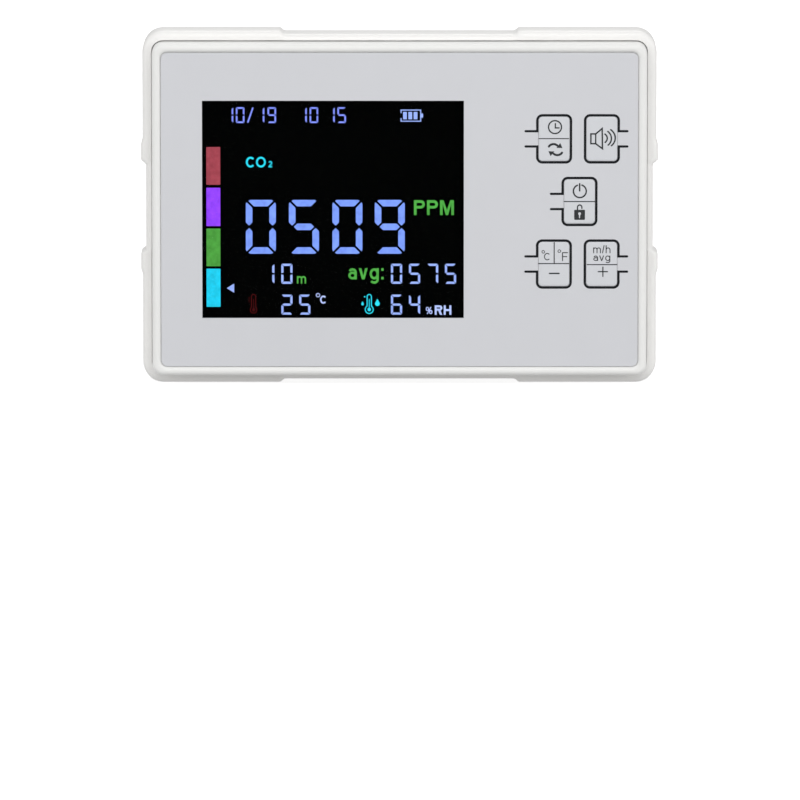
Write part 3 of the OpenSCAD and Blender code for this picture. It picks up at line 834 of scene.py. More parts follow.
@dataclass(frozen=True)
class Lettering:
    """Plain upright letters whose strokes all have the same width."""

    capital: float
    weight: float
    small_share: float = 0.73
    tail_share: float = 0.28
    spacing: float = 0.13
    WIDTHS = {"P": 0.68, "M": 0.86, "C": 0.76, "O": 0.80, "R": 0.72, "H": 0.72, "F": 0.62, "2": 0.58,
              "a": 0.56, "v": 0.58, "g": 0.60, "m": 0.90, "h": 0.56, ":": 0.22, "/": 0.30, "%": 0.95}

    def word(self, text: str, left: float, right: float, base: float) -> list[list[Shape]]:
        """The shapes of each letter of a word that fills the space between two limits.

        Args:
            text: The word.
            left, right: The limits.
            base: The height of its base line.

        Returns:
            For each letter, its shapes.
        """
        gap = self.spacing * self.capital
        natural = sum(self.WIDTHS[letter] * self.capital for letter in text) + gap * (len(text) - 1)
        stretch = (right - left) / natural
        letters = []
        for letter in text:
            width = self.WIDTHS[letter] * self.capital * stretch
            letters.append([Shape(moved(shape.outline, (left, base)),
                                  tuple(moved(hole, (left, base)) for hole in shape.holes))
                            for shape in self.letter(letter, width)])
            left += width + gap * stretch
        return letters

    def letter(self, letter: str, width: float) -> list[Shape]:
        """The shapes of one letter, from its lower left corner.

        Args:
            letter: The letter.
            width: How wide it is.

        Returns:
            Its shapes.
        """
        height, edge, thick = self.capital, self.weight / 2, self.weight
        small = height * self.small_share
        right, top = width - edge, height - edge
        lines = []
        match letter:
            case "P" | "R":
                reach = (0.56 * height - thick) / 2
                turn = arc((right - reach, top - reach), reach, 90, -90, 12)
                lines = [[(edge, 0), (edge, height)], [(edge, top), *turn, (edge, top - 2 * reach)]]
                if letter == "R":
                    foot, knee = width - 1.25 * thick, top - 2 * reach
                    leg = [(0.40 * width, knee), (0.40 * width + 1.15 * thick, knee), (width, 0), (foot, 0)]
                    return [self._line(line) for line in lines] + [Shape(leg)]
            case "M":
                half = [(0, 0), (0, height), (1.35 * thick, height), (width / 2, 0.34 * height)]
                inner = [(width / 2 - edge * 0.9, 0), (thick, 0.74 * height), (thick, 0)]
                mirror = [(width - x, z) for x, z in half[:3]][::-1]
                inner_mirror = [(width - x, z) for x, z in inner][::-1]
                return [Shape(half + mirror + inner_mirror + inner)]
            case "C":
                lines = [oval(edge, right, edge, top, 42, 318)]
            case "O":
                return [self._line(oval(edge, right, edge, top)[:-1], True)]
            case "H":
                lines = [[(edge, 0), (edge, height)], [(right, 0), (right, height)],
                         [(edge, height / 2), (right, height / 2)]]
            case "F":
                lines = [[(edge, 0), (edge, height)], [(edge, top), (width, top)],
                         [(edge, 0.5 * height), (0.9 * width, 0.5 * height)]]
            case "2":
                reach = right - width / 2
                turn = arc((width / 2, top - reach), reach, 165, -42, 16)
                lines = [[*turn, (1.6 * edge, thick)], [(0, edge), (width, edge)]]
            case "a":
                reach = right - width / 2
                lines = [[*arc((width / 2, small - edge - reach), reach, 155, 0, 14), (right, 0)]]
                bowl = oval(edge, right, edge, 0.60 * small)[:-1]
                return [self._line(lines[0]), self._line(bowl, True)]
            case "v":
                return [Shape([(0, small), (1.1 * thick, small), (width / 2, 1.5 * thick),
                               (width - 1.1 * thick, small), (width, small),
                               (width / 2 + 0.55 * thick, 0), (width / 2 - 0.55 * thick, 0)])]
            case "g":
                tail = self.tail_share * height
                hook = oval(edge, right, edge - tail, edge + 0.35 * tail, 0, -150, 14)
                return [self._line([(right, small), *hook]),
                        self._line(oval(edge, right, edge, small - edge)[:-1], True)]
            case "m" | "h":
                legs = (width / 2, right) if letter == "m" else (right,)
                lines = [[(edge, 0), (edge, small if letter == "m" else height)]]
                start = edge
                for leg in legs:
                    reach = (leg - start) / 2
                    lines.append([*arc((start + reach, small - edge - reach), reach, 180, 0, 12), (leg, 0)])
                    start = leg
            case ":":
                lines = [[(width / 2, 0), (width / 2, 1.1 * thick)],
                         [(width / 2, small - 1.1 * thick), (width / 2, small)]]
            case "/":
                lines = [[(edge, 0), (right, height)]]
            case "%":
                ring = 0.42 * width
                tall = ring * 1.15
                rings = ((edge, ring, top - tall, top), (width - ring, right, edge, edge + tall))
                return [self._line([(0.22 * width, 0), (0.78 * width, height)]),
                        *(self._line(oval(*box)[:-1], True) for box in rings)]
        return [self._line(line) for line in lines]

    def _line(self, path: list[Point], closed: bool = False) -> Shape:
        """One stroke of the letter's weight."""
        return stroke(path, self.weight, closed)


class FlatWork:
    """Collects flat shapes and makes one thin closed piece of them, facing the viewer."""

    layer = 0.0015 * MM
    weld = 0.0001 * MM

    def __init__(self, front: float, thickness: float) -> None:
        """Starts with no shapes.

        Args:
            front: The depth of the work's front surface, in metres.
            thickness: How thick it is, in metres.
        """
        self.middle = middle_of_face()
        self.front = front
        self.thickness = thickness
        self.mesh = bmesh.new()

    def add(self, *shapes: Shape) -> None:
        """Adds shapes, each as a closed sheet.

        Args:
            shapes: The shapes. They may overlap, as each lies a little deeper than the one before.
        """
        for order, shape in enumerate(shapes):
            loops = [shape.outline, *shape.holes]
            triangles = tessellate_polygon([[Vector((x, z, 0)) for x, z in loop] for loop in loops])
            sides = []
            for y in (self.front + order * self.layer, self.front + self.thickness + order * self.layer):
                rings = [[self._corner(point, y) for point in loop] for loop in loops]
                corners = [corner for ring in rings for corner in ring]
                for triangle in triangles:
                    self.mesh.faces.new([corners[i] for i in triangle])
                sides.append(rings)
            for near, far in zip(*sides):
                for i, corner in enumerate(near):
                    after = (i + 1) % len(near)
                    self.mesh.faces.new((corner, near[after], far[after], far[i]))

    def _corner(self, point: Point, y: float) -> bmesh.types.BMVert:
        """Adds one vertex at a place on the face and a depth."""
        return self.mesh.verts.new((self.middle.x + point[0] * MM, y, self.middle.z + point[1] * MM))

    def write(self, text: str, style: "Lettering", left: float, right: float, base: float) -> None:
        """Adds a word between two upright limits.

        Args:
            text: What is written.
            style: The lettering's height and weight.
            left, right: Where the word starts and ends.
            base: The height of its base line.
        """
        for shapes in style.word(text, left, right, base):
            self.add(*shapes)

    def piece(self, name: str, finish: Finish, body: str) -> None:
        """Makes the piece.

        Args:
            name: The piece's name.
            finish: Its finish.
            body: The body that it rides on.
        """
        bmesh.ops.remove_doubles(self.mesh, verts=self.mesh.verts, dist=self.weld)
        place_piece(name, finished_mesh(self.mesh, name), finish.material(name), body)


def place_piece(name: str, data: bpy.types.Mesh, material: bpy.types.Material, body: str) -> bpy.types.Object:
    """Puts a finished mesh into the scene as a piece that rides on a body.

    Args:
        name: The piece's name.
        data: Its mesh, in the model's frame.
        material: Its material.
        body: The body that it rides on.

    Returns:
        The piece's object.
    """
    data.materials.clear()
    data.materials.append(material)
    made = into_scene(name, data)
    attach(made, body)
    LOG.info("%s: %d faces, rides on %s", name, len(data.polygons), body)
    return made


def loft(rings: list[list[tuple[float, float, float]]]) -> bpy.types.Mesh:
    """A closed mesh through rings of points, with both ends capped.

    Args:
        rings: Rings of the same number of points, in order, in metres.

    Returns:
        The mesh, with its faces outwards.
    """
    shape = bmesh.new()
    loops = [[shape.verts.new(point) for point in ring] for ring in rings]
    count = len(loops[0])
    for near, far in zip(loops, loops[1:]):
        for i in range(count):
            after = (i + 1) % count
            shape.faces.new((near[i], near[after], far[after], far[i]))
    shape.faces.new(loops[0])
    shape.faces.new(loops[-1])
    return finished_mesh(shape, "loft")


def smooth_but_creased(data: bpy.types.Mesh, crease: float) -> None:
    """Shades a mesh smooth, apart from edges that turn by more than crease degrees."""
    data.polygons.foreach_set("use_smooth", [True] * len(data.polygons))
    data.set_sharp_from_angle(angle=math.radians(crease))


# ---- Housing ----

@dataclass
class MiddleFrame:
    """The ring round the middle of the case, with true fillets on every outer edge.

    Sizes are in millimetres, angles in degrees.
    """

    rim: float = 2.6
    edge: float = 1.6
    seam: float = 0.25
    inner_edge: float = 0.12
    ledge: float = 1.3
    ledge_reach: float = 1.75
    ledge_depth: float = 2.7
    corner: float = 3.25
    pad_start: float = 34.0
    bump: float = 0.5
    bump_start: float = 13.5
    bump_end: float = 17.5
    bump_fade: float = 2.0
    step: float = 0.95
    ramp: float = 1.5
    stretch: float = 0.55
    ridge: tuple[float, float] = (8.3, 1.1)
    ridge_depth: float = 0.7
    ridge_x: tuple[float, ...] = (-45.0, 0.0, 45.0)
    ridge_z: tuple[float, ...] = (-26.0, 26.0)
    ridge_inset: float = 1.8
    port_play: float = 0.35
    port_depth: float = 6.0
    fillet_steps: int = 10
    corner_steps: int = 14
    port_steps: int = 12
    weld: float = 0.001
    crease: float = 32.0

    def __post_init__(self) -> None:
        """Reads the ring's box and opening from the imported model."""
        self.low, self.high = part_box("mid_frame")
        overlay_low, overlay_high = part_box("front_overlay")
        self.half_x = (overlay_high.x - overlay_low.x) / 2 / MM + self.rim + self.seam
        self.half_z = (overlay_high.z - overlay_low.z) / 2 / MM + self.rim + self.seam
        self.depth = (self.high.y - self.low.y) / MM
        self.side = (self.high.x - self.low.x) / 2 / MM - self.bump
        self.top = (self.high.z - self.low.z) / 2 / MM
        self.thick = self.side - self.half_x

    def profile(self) -> bpy.types.Object:
        """The ring's cross-section as a closed loop.

        Returns:
            The loop: x runs out from the opening's wall, y to the back.
        """
        half, t, r, n = self.depth / 2, self.thick, self.edge, self.inner_edge
        outer = arc((t - r, r - half), r, -90, 0, self.fillet_steps)
        outer += arc((t - r, half - r), r, 0, 90, self.fillet_steps)
        inner = [(n, half), (0, half - n)]
        for sign in (1, -1):
            far, near = sign * (self.ledge_depth + self.ledge), sign * self.ledge_depth
            step = [(0, far), (-self.ledge_reach, far), (-self.ledge_reach, near), (0, near)]
            inner += step if sign > 0 else step[::-1]
        inner += [(0, n - half), (n, -half)]
        points = [(x * MM, y * MM, 0) for x, y in outer + inner]
        data = bpy.data.meshes.new("ring profile")
        count = len(points)
        data.from_pydata(points, [(i, (i + 1) % count) for i in range(count)], [])
        return into_scene("ring profile", data)

    def tree(self, material: bpy.types.Material) -> ShapeTree:
        """The rule of the ring: its profile goes round the opening, then sides, bumps and pads are set.

        Args:
            material: The material of the ring.

        Returns:
            The tree.
        """
        names = ("Opening Width", "Opening Height", "Corner", "Stretch", "Bump", "Bump Start", "Bump End",
                 "Bump Fade", "Step", "Ramp", "Pad Start", "Pad Rise", "Face Width")
        tree = ShapeTree("middle_frame_ring", names, profile=True)
        size = tree.size
        path = tree.node("GeometryNodeCurvePrimitiveQuadrilateral", {"mode": "RECTANGLE"},
                         {"Width": size("Opening Width"), "Height": size("Opening Height")})
        path = tree.node("GeometryNodeFilletCurve", {"mode": "POLY"},
                         {"Curve": path, "Count": self.corner_steps, "Radius": size("Corner")})
        path = tree.node("GeometryNodeResampleCurve", {"mode": "LENGTH"},
                         {"Curve": path, "Length": size("Stretch")})
        path = tree.node("GeometryNodeSetCurveNormal", {"mode": "Z_UP"}, {"Curve": path})
        section = tree.node("GeometryNodeObjectInfo", {}, {"Object": size("Profile")}, "Geometry")
        section = tree.node("GeometryNodeMeshToCurve", {}, {"Mesh": section})
        ring = tree.node("GeometryNodeCurveToMesh", {}, {"Curve": path, "Profile Curve": section})
        place = tree.node("GeometryNodeInputPosition")
        x, y = (tree.node("ShaderNodeSeparateXYZ", {}, {"Vector": place}, axis) for axis in "XY")
        out_x = tree.between(x.size(), size("Opening Width") / 2,
                             size("Opening Width") / 2 + size("Face Width"), 0.0, 1.0)
        out_y = tree.between(y.size(), size("Opening Height") / 2,
                             size("Opening Height") / 2 + size("Face Width"), 0.0, 1.0)
        climb = tree.between(y.size(), size("Bump Start") - size("Ramp"), size("Bump Start"),
                             size("Step") * -1.0, size("Bump"), True)
        fall = tree.between(y.size(), size("Bump End"), size("Bump End") + size("Bump Fade"),
                            0.0, size("Bump") * -1.0, True)
        pads = tree.between(x.size(), size("Pad Start") - size("Ramp"), size("Pad Start"),
                            size("Pad Rise") - size("Step"), size("Pad Rise"), True)
        shift = tree.node("ShaderNodeCombineXYZ", {}, {"X": x.sign() * out_x * (climb + fall),
                                                       "Y": y.sign() * out_y * pads})
        ring = tree.node("GeometryNodeSetPosition", {}, {"Geometry": ring, "Offset": shift})
        middle = (self.low + self.high) / 2
        ring = tree.node("GeometryNodeTransform", {},
                         {"Geometry": ring, "Translation": middle, "Rotation": UPRIGHT})
        tree.close(ring, material)
        return tree

    def cutter(self) -> bpy.types.Object:
        """What is cut from the ring.

        Returns:
            The charging port's way in and the grooves that take the snap ridges, as one object.
        """
        shape = bmesh.new()
        port_low, port_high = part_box("charging_port_shell")
        radius = (port_high.y - port_low.y) / 2 + self.port_play * MM
        reach = (port_high.z - port_low.z) / 2 + self.port_play * MM - radius
        y, z = (port_high.y + port_low.y) / 2, (port_high.z + port_low.z) / 2
        section = arc((0, reach), radius, 0, 180, self.port_steps)
        section += arc((0, -reach), radius, 180, 360, self.port_steps)
        ends = [[shape.verts.new((x, y + across, z + up)) for across, up in section]
                for x in (self.low.x - MM, self.low.x + self.port_depth * MM)]
        for i in range(len(section)):
            after = (i + 1) % len(section)
            shape.faces.new((ends[0][i], ends[0][after], ends[1][after], ends[1][i]))
        for end in ends:
            shape.faces.new(end)
        middle = (self.low + self.high) / 2
        long, wide = self.ridge
        for depth in (self.low.y + self.ridge_inset * MM, self.high.y - self.ridge_inset * MM):
            cut = 2 * self.ridge_depth
            spots = [(x, s * self.half_z, long, cut) for x in self.ridge_x for s in (-1, 1)]
            spots += [(s * self.half_x, z, cut, long) for z in self.ridge_z for s in (-1, 1)]
            for x, z, width, height in spots:
                size = Matrix.Diagonal((width * MM, wide * MM, height * MM, 1.0))
                spot = Matrix.Translation((middle.x + x * MM, depth, middle.z + z * MM))
                bmesh.ops.create_cube(shape, size=1.0, matrix=spot @ size)
        return into_scene("ring cutter", finished_mesh(shape, "ring cutter"))

    def build(self) -> None:
        """Makes the ring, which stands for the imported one."""
        material = SLOT_FINISHES["frame_white"].material("middle_frame")
        profile = self.profile()
        tree = self.tree(material)
        values = {"Opening Width": 2 * self.half_x, "Opening Height": 2 * self.half_z,
                  "Corner": self.corner, "Stretch": self.stretch, "Bump": self.bump,
                  "Bump Start": self.bump_start, "Bump End": self.bump_end, "Bump Fade": self.bump_fade,
                  "Step": self.step, "Ramp": self.ramp, "Pad Start": self.pad_start,
                  "Pad Rise": self.top - self.half_z - self.thick, "Face Width": self.thick - self.edge}
        inputs = {name: value * MM for name, value in values.items()}
        data = tree.run({**inputs, "Profile": profile})
        bpy.data.objects.remove(profile)
        ring = bmesh.new()
        ring.from_mesh(data)
        bmesh.ops.remove_doubles(ring, verts=ring.verts, dist=self.weld * MM)
        carrier = into_scene("ring", finished_mesh(ring, "ring"))
        cutter = self.cutter()
        cut = carrier.modifiers.new("Cut", "BOOLEAN")
        cut.object, cut.operation, cut.solver = cutter, "DIFFERENCE", "EXACT"
        depsgraph = bpy.context.evaluated_depsgraph_get()
        finished = bpy.data.meshes.new_from_object(carrier.evaluated_get(depsgraph))
        bpy.data.objects.remove(carrier)
        bpy.data.objects.remove(cutter)
        smooth_but_creased(finished, self.crease)
        made = place_piece("middle_frame", finished, material, "case")
        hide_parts("mid_frame")


@dataclass
class DustFilter:
    """The filter behind the T-shaped vents: a felt sheet with a woven mesh on its outer face.

    Sizes are in millimetres, angles in degrees.
    """

    felt: float = 0.62
    pitch: float = 1.0
    wire: float = 0.19
    sides: int = 4
    notch_margin: float = 0.3
    notch_steps: int = 24
    crease: float = 60.0
    felt_finish: Finish = Thread(paint(142, 137, 131), 0.25)

    def tree(self, material: bpy.types.Material) -> ShapeTree:
        """The rule of the weave: wires both ways over a rectangle, over and under each other.

        Args:
            material: The material of the wires.

        Returns:
            The tree.
        """
        tree = ShapeTree("filter_weave", ("Width", "Height", "Pitch", "Wire Radius", "Swing",
                                          "Middle X", "Middle Y", "Middle Z"))
        size = tree.size
        pitch = size("Pitch")
        section = tree.node("GeometryNodeCurvePrimitiveCircle", {"mode": "RADIUS"},
                            {"Resolution": self.sides, "Radius": size("Wire Radius")})
        sets = []
        for along, across, phase in (("Width", "Height", 0.0), ("Height", "Width", 1.0)):
            spans = tree.node("ShaderNodeMath", {"operation": "FLOOR"}, {0: size(along) / pitch})
            rows = tree.node("ShaderNodeMath", {"operation": "FLOOR"}, {0: size(across) / pitch})
            line = tree.node("GeometryNodeMeshLine", {"mode": "OFFSET"},
                             {"Count": spans * 2.0 + 1.0,
                              "Offset": tree.node("ShaderNodeCombineXYZ", {}, {"X": pitch / 2})})
            index = tree.node("GeometryNodeInputIndex")
            swing = (index * (math.pi / 2) + phase * math.pi).wave() * size("Swing")
            lift = tree.node("ShaderNodeCombineXYZ", {}, {"Z": swing})
            line = tree.node("GeometryNodeSetPosition", {}, {"Geometry": line, "Offset": lift})
            curve = tree.node("GeometryNodeMeshToCurve", {}, {"Mesh": line})
            wire = tree.node("GeometryNodeCurveToMesh", {},
                             {"Curve": curve, "Profile Curve": section, "Fill Caps": True})
            starts = tree.node("GeometryNodeMeshLine", {"mode": "OFFSET"},
                               {"Count": rows,
                                "Offset": tree.node("ShaderNodeCombineXYZ", {}, {"Y": pitch})})
            odd = tree.node("ShaderNodeMath", {"operation": "MODULO"}, {0: index, 1: 2.0})
            flip = tree.node("ShaderNodeCombineXYZ", {}, {"X": odd * math.pi})
            laid = tree.node("GeometryNodeInstanceOnPoints", {},
                             {"Points": starts, "Instance": wire, "Rotation": flip})
            shift = tree.node("ShaderNodeCombineXYZ", {},
                              {"X": spans * pitch * -0.5, "Y": (rows - 1.0) * pitch * -0.5})
            laid = tree.node("GeometryNodeTransform", {}, {"Geometry": laid, "Translation": shift})
            if along == "Height":
                laid = tree.node("GeometryNodeTransform", {},
                                 {"Geometry": laid, "Rotation": (0, 0, math.pi / 2)})
            sets.append(laid)
        both = tree.tree.nodes.new("GeometryNodeJoinGeometry")
        for laid in sets:
            tree.feed(both.inputs[0], laid)
        middle = tree.node("ShaderNodeCombineXYZ", {},
                           {"X": size("Middle X"), "Y": size("Middle Y"), "Z": size("Middle Z")})
        turned = tree.node("GeometryNodeTransform", {},
                           {"Geometry": Value(tree, both.outputs[0]), "Translation": middle,
                            "Rotation": UPRIGHT})
        tree.close(turned, material)
        return tree

    def build(self) -> None:
        """Makes the felt sheet and the mesh on it."""
        low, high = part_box("dust_filter")
        pocket_low, pocket_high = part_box("hanger_pocket")
        middle = middle_of_face()
        notch = (pocket_high.x - pocket_low.x) / 2 + self.notch_margin * MM
        notch_top = pocket_high.z + self.notch_margin * MM
        sheet = FlatWork(low.y, self.felt * MM)
        x, bottom, top = high.x / MM, (low.z - middle.z) / MM, (high.z - middle.z) / MM
        bite = notch / MM
        centre = (notch_top - middle.z) / MM - bite
        lean = math.degrees(math.asin((bottom - centre) / bite))
        round_pocket = arc((0, centre), bite, 180 - lean, lean, self.notch_steps)
        sheet.add(Shape([(-x, bottom), *round_pocket, (x, bottom), (x, top), (-x, top)]))
        sheet.piece("filter_felt", self.felt_finish, "case")
        material = SLOT_FINISHES["filter_mesh"].material("filter_weave")
        tree = self.tree(material)
        depth = high.y - 2 * self.wire * MM
        blocks = ((low.x, high.x, notch_top, high.z), (low.x, -notch, low.z, notch_top),
                  (notch, high.x, low.z, notch_top))
        weave = bmesh.new()
        for left, right, under, over in blocks:
            weave.from_mesh(tree.run({"Width": right - left, "Height": over - under,
                                      "Pitch": self.pitch * MM, "Wire Radius": self.wire * MM,
                                      "Swing": self.wire * MM, "Middle X": (left + right) / 2,
                                      "Middle Y": depth, "Middle Z": (under + over) / 2}))
        data = finished_mesh(weave, "filter_weave")
        smooth_but_creased(data, self.crease)
        mesh = place_piece("filter_weave", data, material, "case")
        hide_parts("dust_filter")


# ---- Display ----

class Lamp(Enum):
    """Colours of the display's lit figures."""

    BLUE = paint(123, 155, 248)
    VIOLET = paint(130, 147, 252)
    PALE = paint(154, 179, 250)
    ICE = paint(180, 197, 252)
    GREEN = paint(80, 170, 71)
    CYAN = paint(44, 214, 236)
    BRICK = paint(160, 70, 82)
    PURPLE = paint(148, 70, 254)
    LEAF = paint(77, 156, 65)
    SKY = paint(35, 204, 237)
    EMBER = paint(70, 16, 18)


@dataclass(frozen=True)
class SevenSegment:
    """A figure made of up to seven straight segments with mitred ends."""

    width: float
    height: float
    thick: float
    gap: float
    waist: float
    peak: float = 0.0
    LIT = {"0": "abcdef", "1": "bc", "2": "abdeg", "4": "bcfg", "5": "acdfg", "6": "acdefg",
           "7": "abc", "9": "abcdfg"}

    def segment(self, name: str) -> list[Point]:
        """The outline of one segment.

        Args:
            name: Its letter, from a at the top round to f, with g in the middle.

        Returns:
            Its points, from the figure's lower left corner.
        """
        w, h, t = self.width, self.height, self.thick
        s, c = self.gap * math.sqrt(0.5), t * 0.42
        waist = h / 2 + self.waist
        upright = [(0, h - s - c), (0.3 * c, h - s - 0.3 * c), (t, h - t - s)]
        if self.peak:
            upright += [(t, waist + t / 2), (self.peak * t, waist), (0, waist + t / 2)]
        else:
            upright += [(t, waist + 0.25 * t), (0, waist)]
        bar = [(s + c, h), (w - s - c, h), (w - s - 0.4 * c, h - 0.4 * c), (w - t - s, h - t),
               (t + s, h - t), (s + 0.4 * c, h - 0.4 * c)]
        tip = self.peak * t + 0.75 * self.gap if self.peak else 0.45 * t
        slope = t / 2 if self.peak else 0.7 * t
        middle = [(tip, h / 2), (tip + slope, h / 2 + t / 2), (w - tip - slope, h / 2 + t / 2),
                  (w - tip, h / 2), (w - tip - slope, h / 2 - t / 2), (tip + slope, h / 2 - t / 2)]
        flip_x = name in "bc"
        flip_z = name in "cde"
        points = {"a": bar, "d": bar, "g": middle}.get(name, upright)
        return [(w - x if flip_x else x, h - z if flip_z else z) for x, z in points]

    def figure(self, digit: str, left: float, bottom: float) -> list[Shape]:
        """The lit segments of one digit at a place."""
        return [Shape(moved(self.segment(name), (left, bottom))) for name in self.LIT[digit]]


@dataclass
class Display:
    """The lit figures of the display, just in front of its black glass, in millimetres."""

    thickness: float = 0.03
    sight_drop: float = 0.36
    scale_left: float = -54.67
    scale_right: float = -50.71
    clock_base: float = 24.72
    reading_base: float = -12.49
    average_base: float = -21.05
    air_base: float = -29.85

    def __post_init__(self) -> None:
        """Reads the glass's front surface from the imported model."""
        self.glass_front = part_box("display_glass")[0].y

    def work(self) -> FlatWork:
        """Starts flat work on the glass.

        Returns:
            The work, with no shapes yet.
        """
        made = FlatWork(self.glass_front - self.thickness * MM, self.thickness * MM)
        made.middle.z -= self.sight_drop * MM
        return made

    def finish(self, work: FlatWork, name: str, lamp: Lamp) -> None:
        """Makes a lit piece of the work."""
        work.piece(name, Lit(lamp.value), "case")

    def bars(self) -> None:
        """The colour scale up the left side and its pointer."""
        middle, width = (self.scale_left + self.scale_right) / 2, self.scale_right - self.scale_left
        bars = (("red", Lamp.BRICK, 17.90, 7.16), ("purple", Lamp.PURPLE, 6.31, -4.59),
                ("green", Lamp.LEAF, -5.31, -16.04), ("cyan", Lamp.SKY, -16.75, -27.62))
        for name, lamp, top, bottom in bars:
            work = self.work()
            work.add(Shape(rounded((middle, (top + bottom) / 2), width, top - bottom, 0.12, 2)))
            self.finish(work, f"scale_{name}", lamp)
        work = self.work()
        work.add(Shape([(-48.92, -22.3), (-46.85, -23.6), (-46.85, -21.0)]))
        self.finish(work, "scale_pointer", Lamp.PALE)

    def main_figure(self) -> None:
        """The large reading, its unit and the gas's formula."""
        digits = SevenSegment(8.5, 15.35, 1.86, 0.62, 0.34, 0.5)
        work = self.work()
        for digit, left in zip("0509", (-43.5, -31.3, -19.0, -7.0)):
            work.add(*digits.figure(digit, left, self.reading_base))
        self.finish(work, "reading_digits", Lamp.BLUE)
        work = self.work()
        work.write("PPM", Lettering(4.22, 0.74), 4.1, 15.4, -1.45)
        work.write("m", Lettering(2.9, 0.42), -29.05, -26.46, -20.98)
        work.write("avg:", Lettering(4.35, 0.66), -14.5, -4.35, -19.8)
        self.finish(work, "green_lettering", Lamp.GREEN)
        work = self.work()
        work.write("CO", Lettering(3.05, 0.54, spacing=0.05), -43.47, -37.8, 12.08)
        work.write("2", Lettering(1.8, 0.34), -37.1, -36.0, 12.12)
        self.humidity(work)
        self.finish(work, "cyan_lettering", Lamp.CYAN)

    def clock(self) -> None:
        """Date and time."""
        digits = SevenSegment(2.44, 4.5, 0.47, 0.14, 0.17)
        bottom = self.clock_base
        places = (("1", -49.44), ("0", -46.27), ("1", -40.64), ("9", -37.33),
                  ("1", -28.64), ("0", -25.43), ("1", -20.74), ("5", -17.57))
        work = self.work()
        for digit, left in places:
            work.add(*digits.figure(digit, left, bottom))
        work.add(stroke([(-42.93, bottom + 0.1), (-41.43, bottom + digits.height - 0.1)], 0.42))
        self.finish(work, "clock_figures", Lamp.VIOLET)

    def battery(self) -> None:
        """The battery symbol: a case whose left end is open, with three bars in it."""
        left, right, top, low, line = 0.31, 6.14, 28.55, 25.1, 0.28
        half, middle = line / 2, (top + low) / 2
        work = self.work()
        work.add(stroke([(left + half, middle + 0.7), (left + half, top - half), (right - half, top - half),
                         (right - half, low + half), (left + half, low + half),
                         (left + half, middle - 0.7)], line))
        work.add(Shape(rounded((right + 0.28, middle), 0.5, 1.2, 0.1, 2)))
        for place in (1.55, 3.05, 4.55):
            work.add(Shape(rounded((place, middle), 1.08, 2.1, 0.06, 2)))
        self.finish(work, "battery_symbol", Lamp.PALE)

    def lower_rows(self) -> None:
        """The averaged reading, the temperature and the humidity."""
        digits = SevenSegment(3.17, 5.72, 0.62, 0.16, 0.2)
        rows = (("10", (-38.60, -33.48), self.average_base),
                ("0575", (-2.42, 2.69, 7.80, 12.87), self.average_base),
                ("25", (-33.48, -28.42), self.air_base), ("64", (-2.42, 2.69), self.air_base))
        work = self.work()
        for text, lefts, bottom in rows:
            for digit, left in zip(text, lefts):
                work.add(*digits.figure(digit, left, bottom))
        self.finish(work, "lower_digits", Lamp.PALE)
        work = self.work()
        work.add(stroke(circle((-23.09, -24.3), 0.50, 20), 0.22, closed=True))
        work.write("C", Lettering(2.3, 0.40), -22.5, -20.62, -26.72)
        work.write("%", Lettering(2.05, 0.26), 7.45, 9.35, -29.7)
        work.write("RH", Lettering(2.7, 0.56), 10.0, 14.7, -29.9)
        self.finish(work, "unit_lettering", Lamp.ICE)
        work = self.work()
        self.thermometer(work, (-41.35, -28.48), 0.93, 0.60, -24.08, 0.24)
        for row in range(4):
            work.add(stroke([(-42.78, -24.95 - 0.42 * row), (-42.42, -24.95 - 0.42 * row)], 0.16))
        self.finish(work, "temperature_symbol", Lamp.EMBER)

    def thermometer(self, work: FlatWork, bulb: Point, bulb_r: float, tube_r: float, top: float,
                    line: float) -> None:
        """Draws a thermometer: an outline of tube and bulb with a filled column.

        Args:
            work: The flat work that it is added to.
            bulb: The middle of the bulb.
            bulb_r, tube_r: Radius of the bulb and of the tube's end, at the middle of the line.
            top: The height of the tube's end.
            line: The outline's width.
        """
        open_angle = math.degrees(math.asin(tube_r / bulb_r))
        neck = arc(bulb, bulb_r, 90 + open_angle, 450 - open_angle, 28)
        end = arc((bulb[0], top - tube_r), tube_r, 0, 180, 10)
        work.add(stroke(neck + end, line, closed=True))
        work.add(stroke([bulb, (bulb[0], top - 1.3)], 0.8 * line), Shape(circle(bulb, 0.45 * bulb_r, 20)))

    def humidity(self, work: FlatWork) -> None:
        """Draws the humidity symbol: a thermometer between drops.

        Args:
            work: The flat work that it is added to.
        """
        self.thermometer(work, (-8.57, -28.38), 1.14, 0.60, -24.1, 0.28)
        for centre, radius in (((-6.26, -26.72), 0.66), ((-10.46, -26.85), 0.38)):
            tip = (centre[0], centre[1] + 2.1 * radius)
            work.add(Shape([tip, *arc(centre, radius, 150, 390, 20)]))
        work.add(Shape(circle((-9.86, -24.75), 0.2, 12)))

    def build(self) -> None:
        """Makes every lit piece."""
        self.bars()
        self.main_figure()
        self.clock()
        self.battery()
        self.lower_rows()


# ---- Keys ----

class Side(Enum):
    """The side on which a key's outline opens, and how far its leads run out."""

    LEFT = (-1, 8.05)
    RIGHT = (1, 7.20)


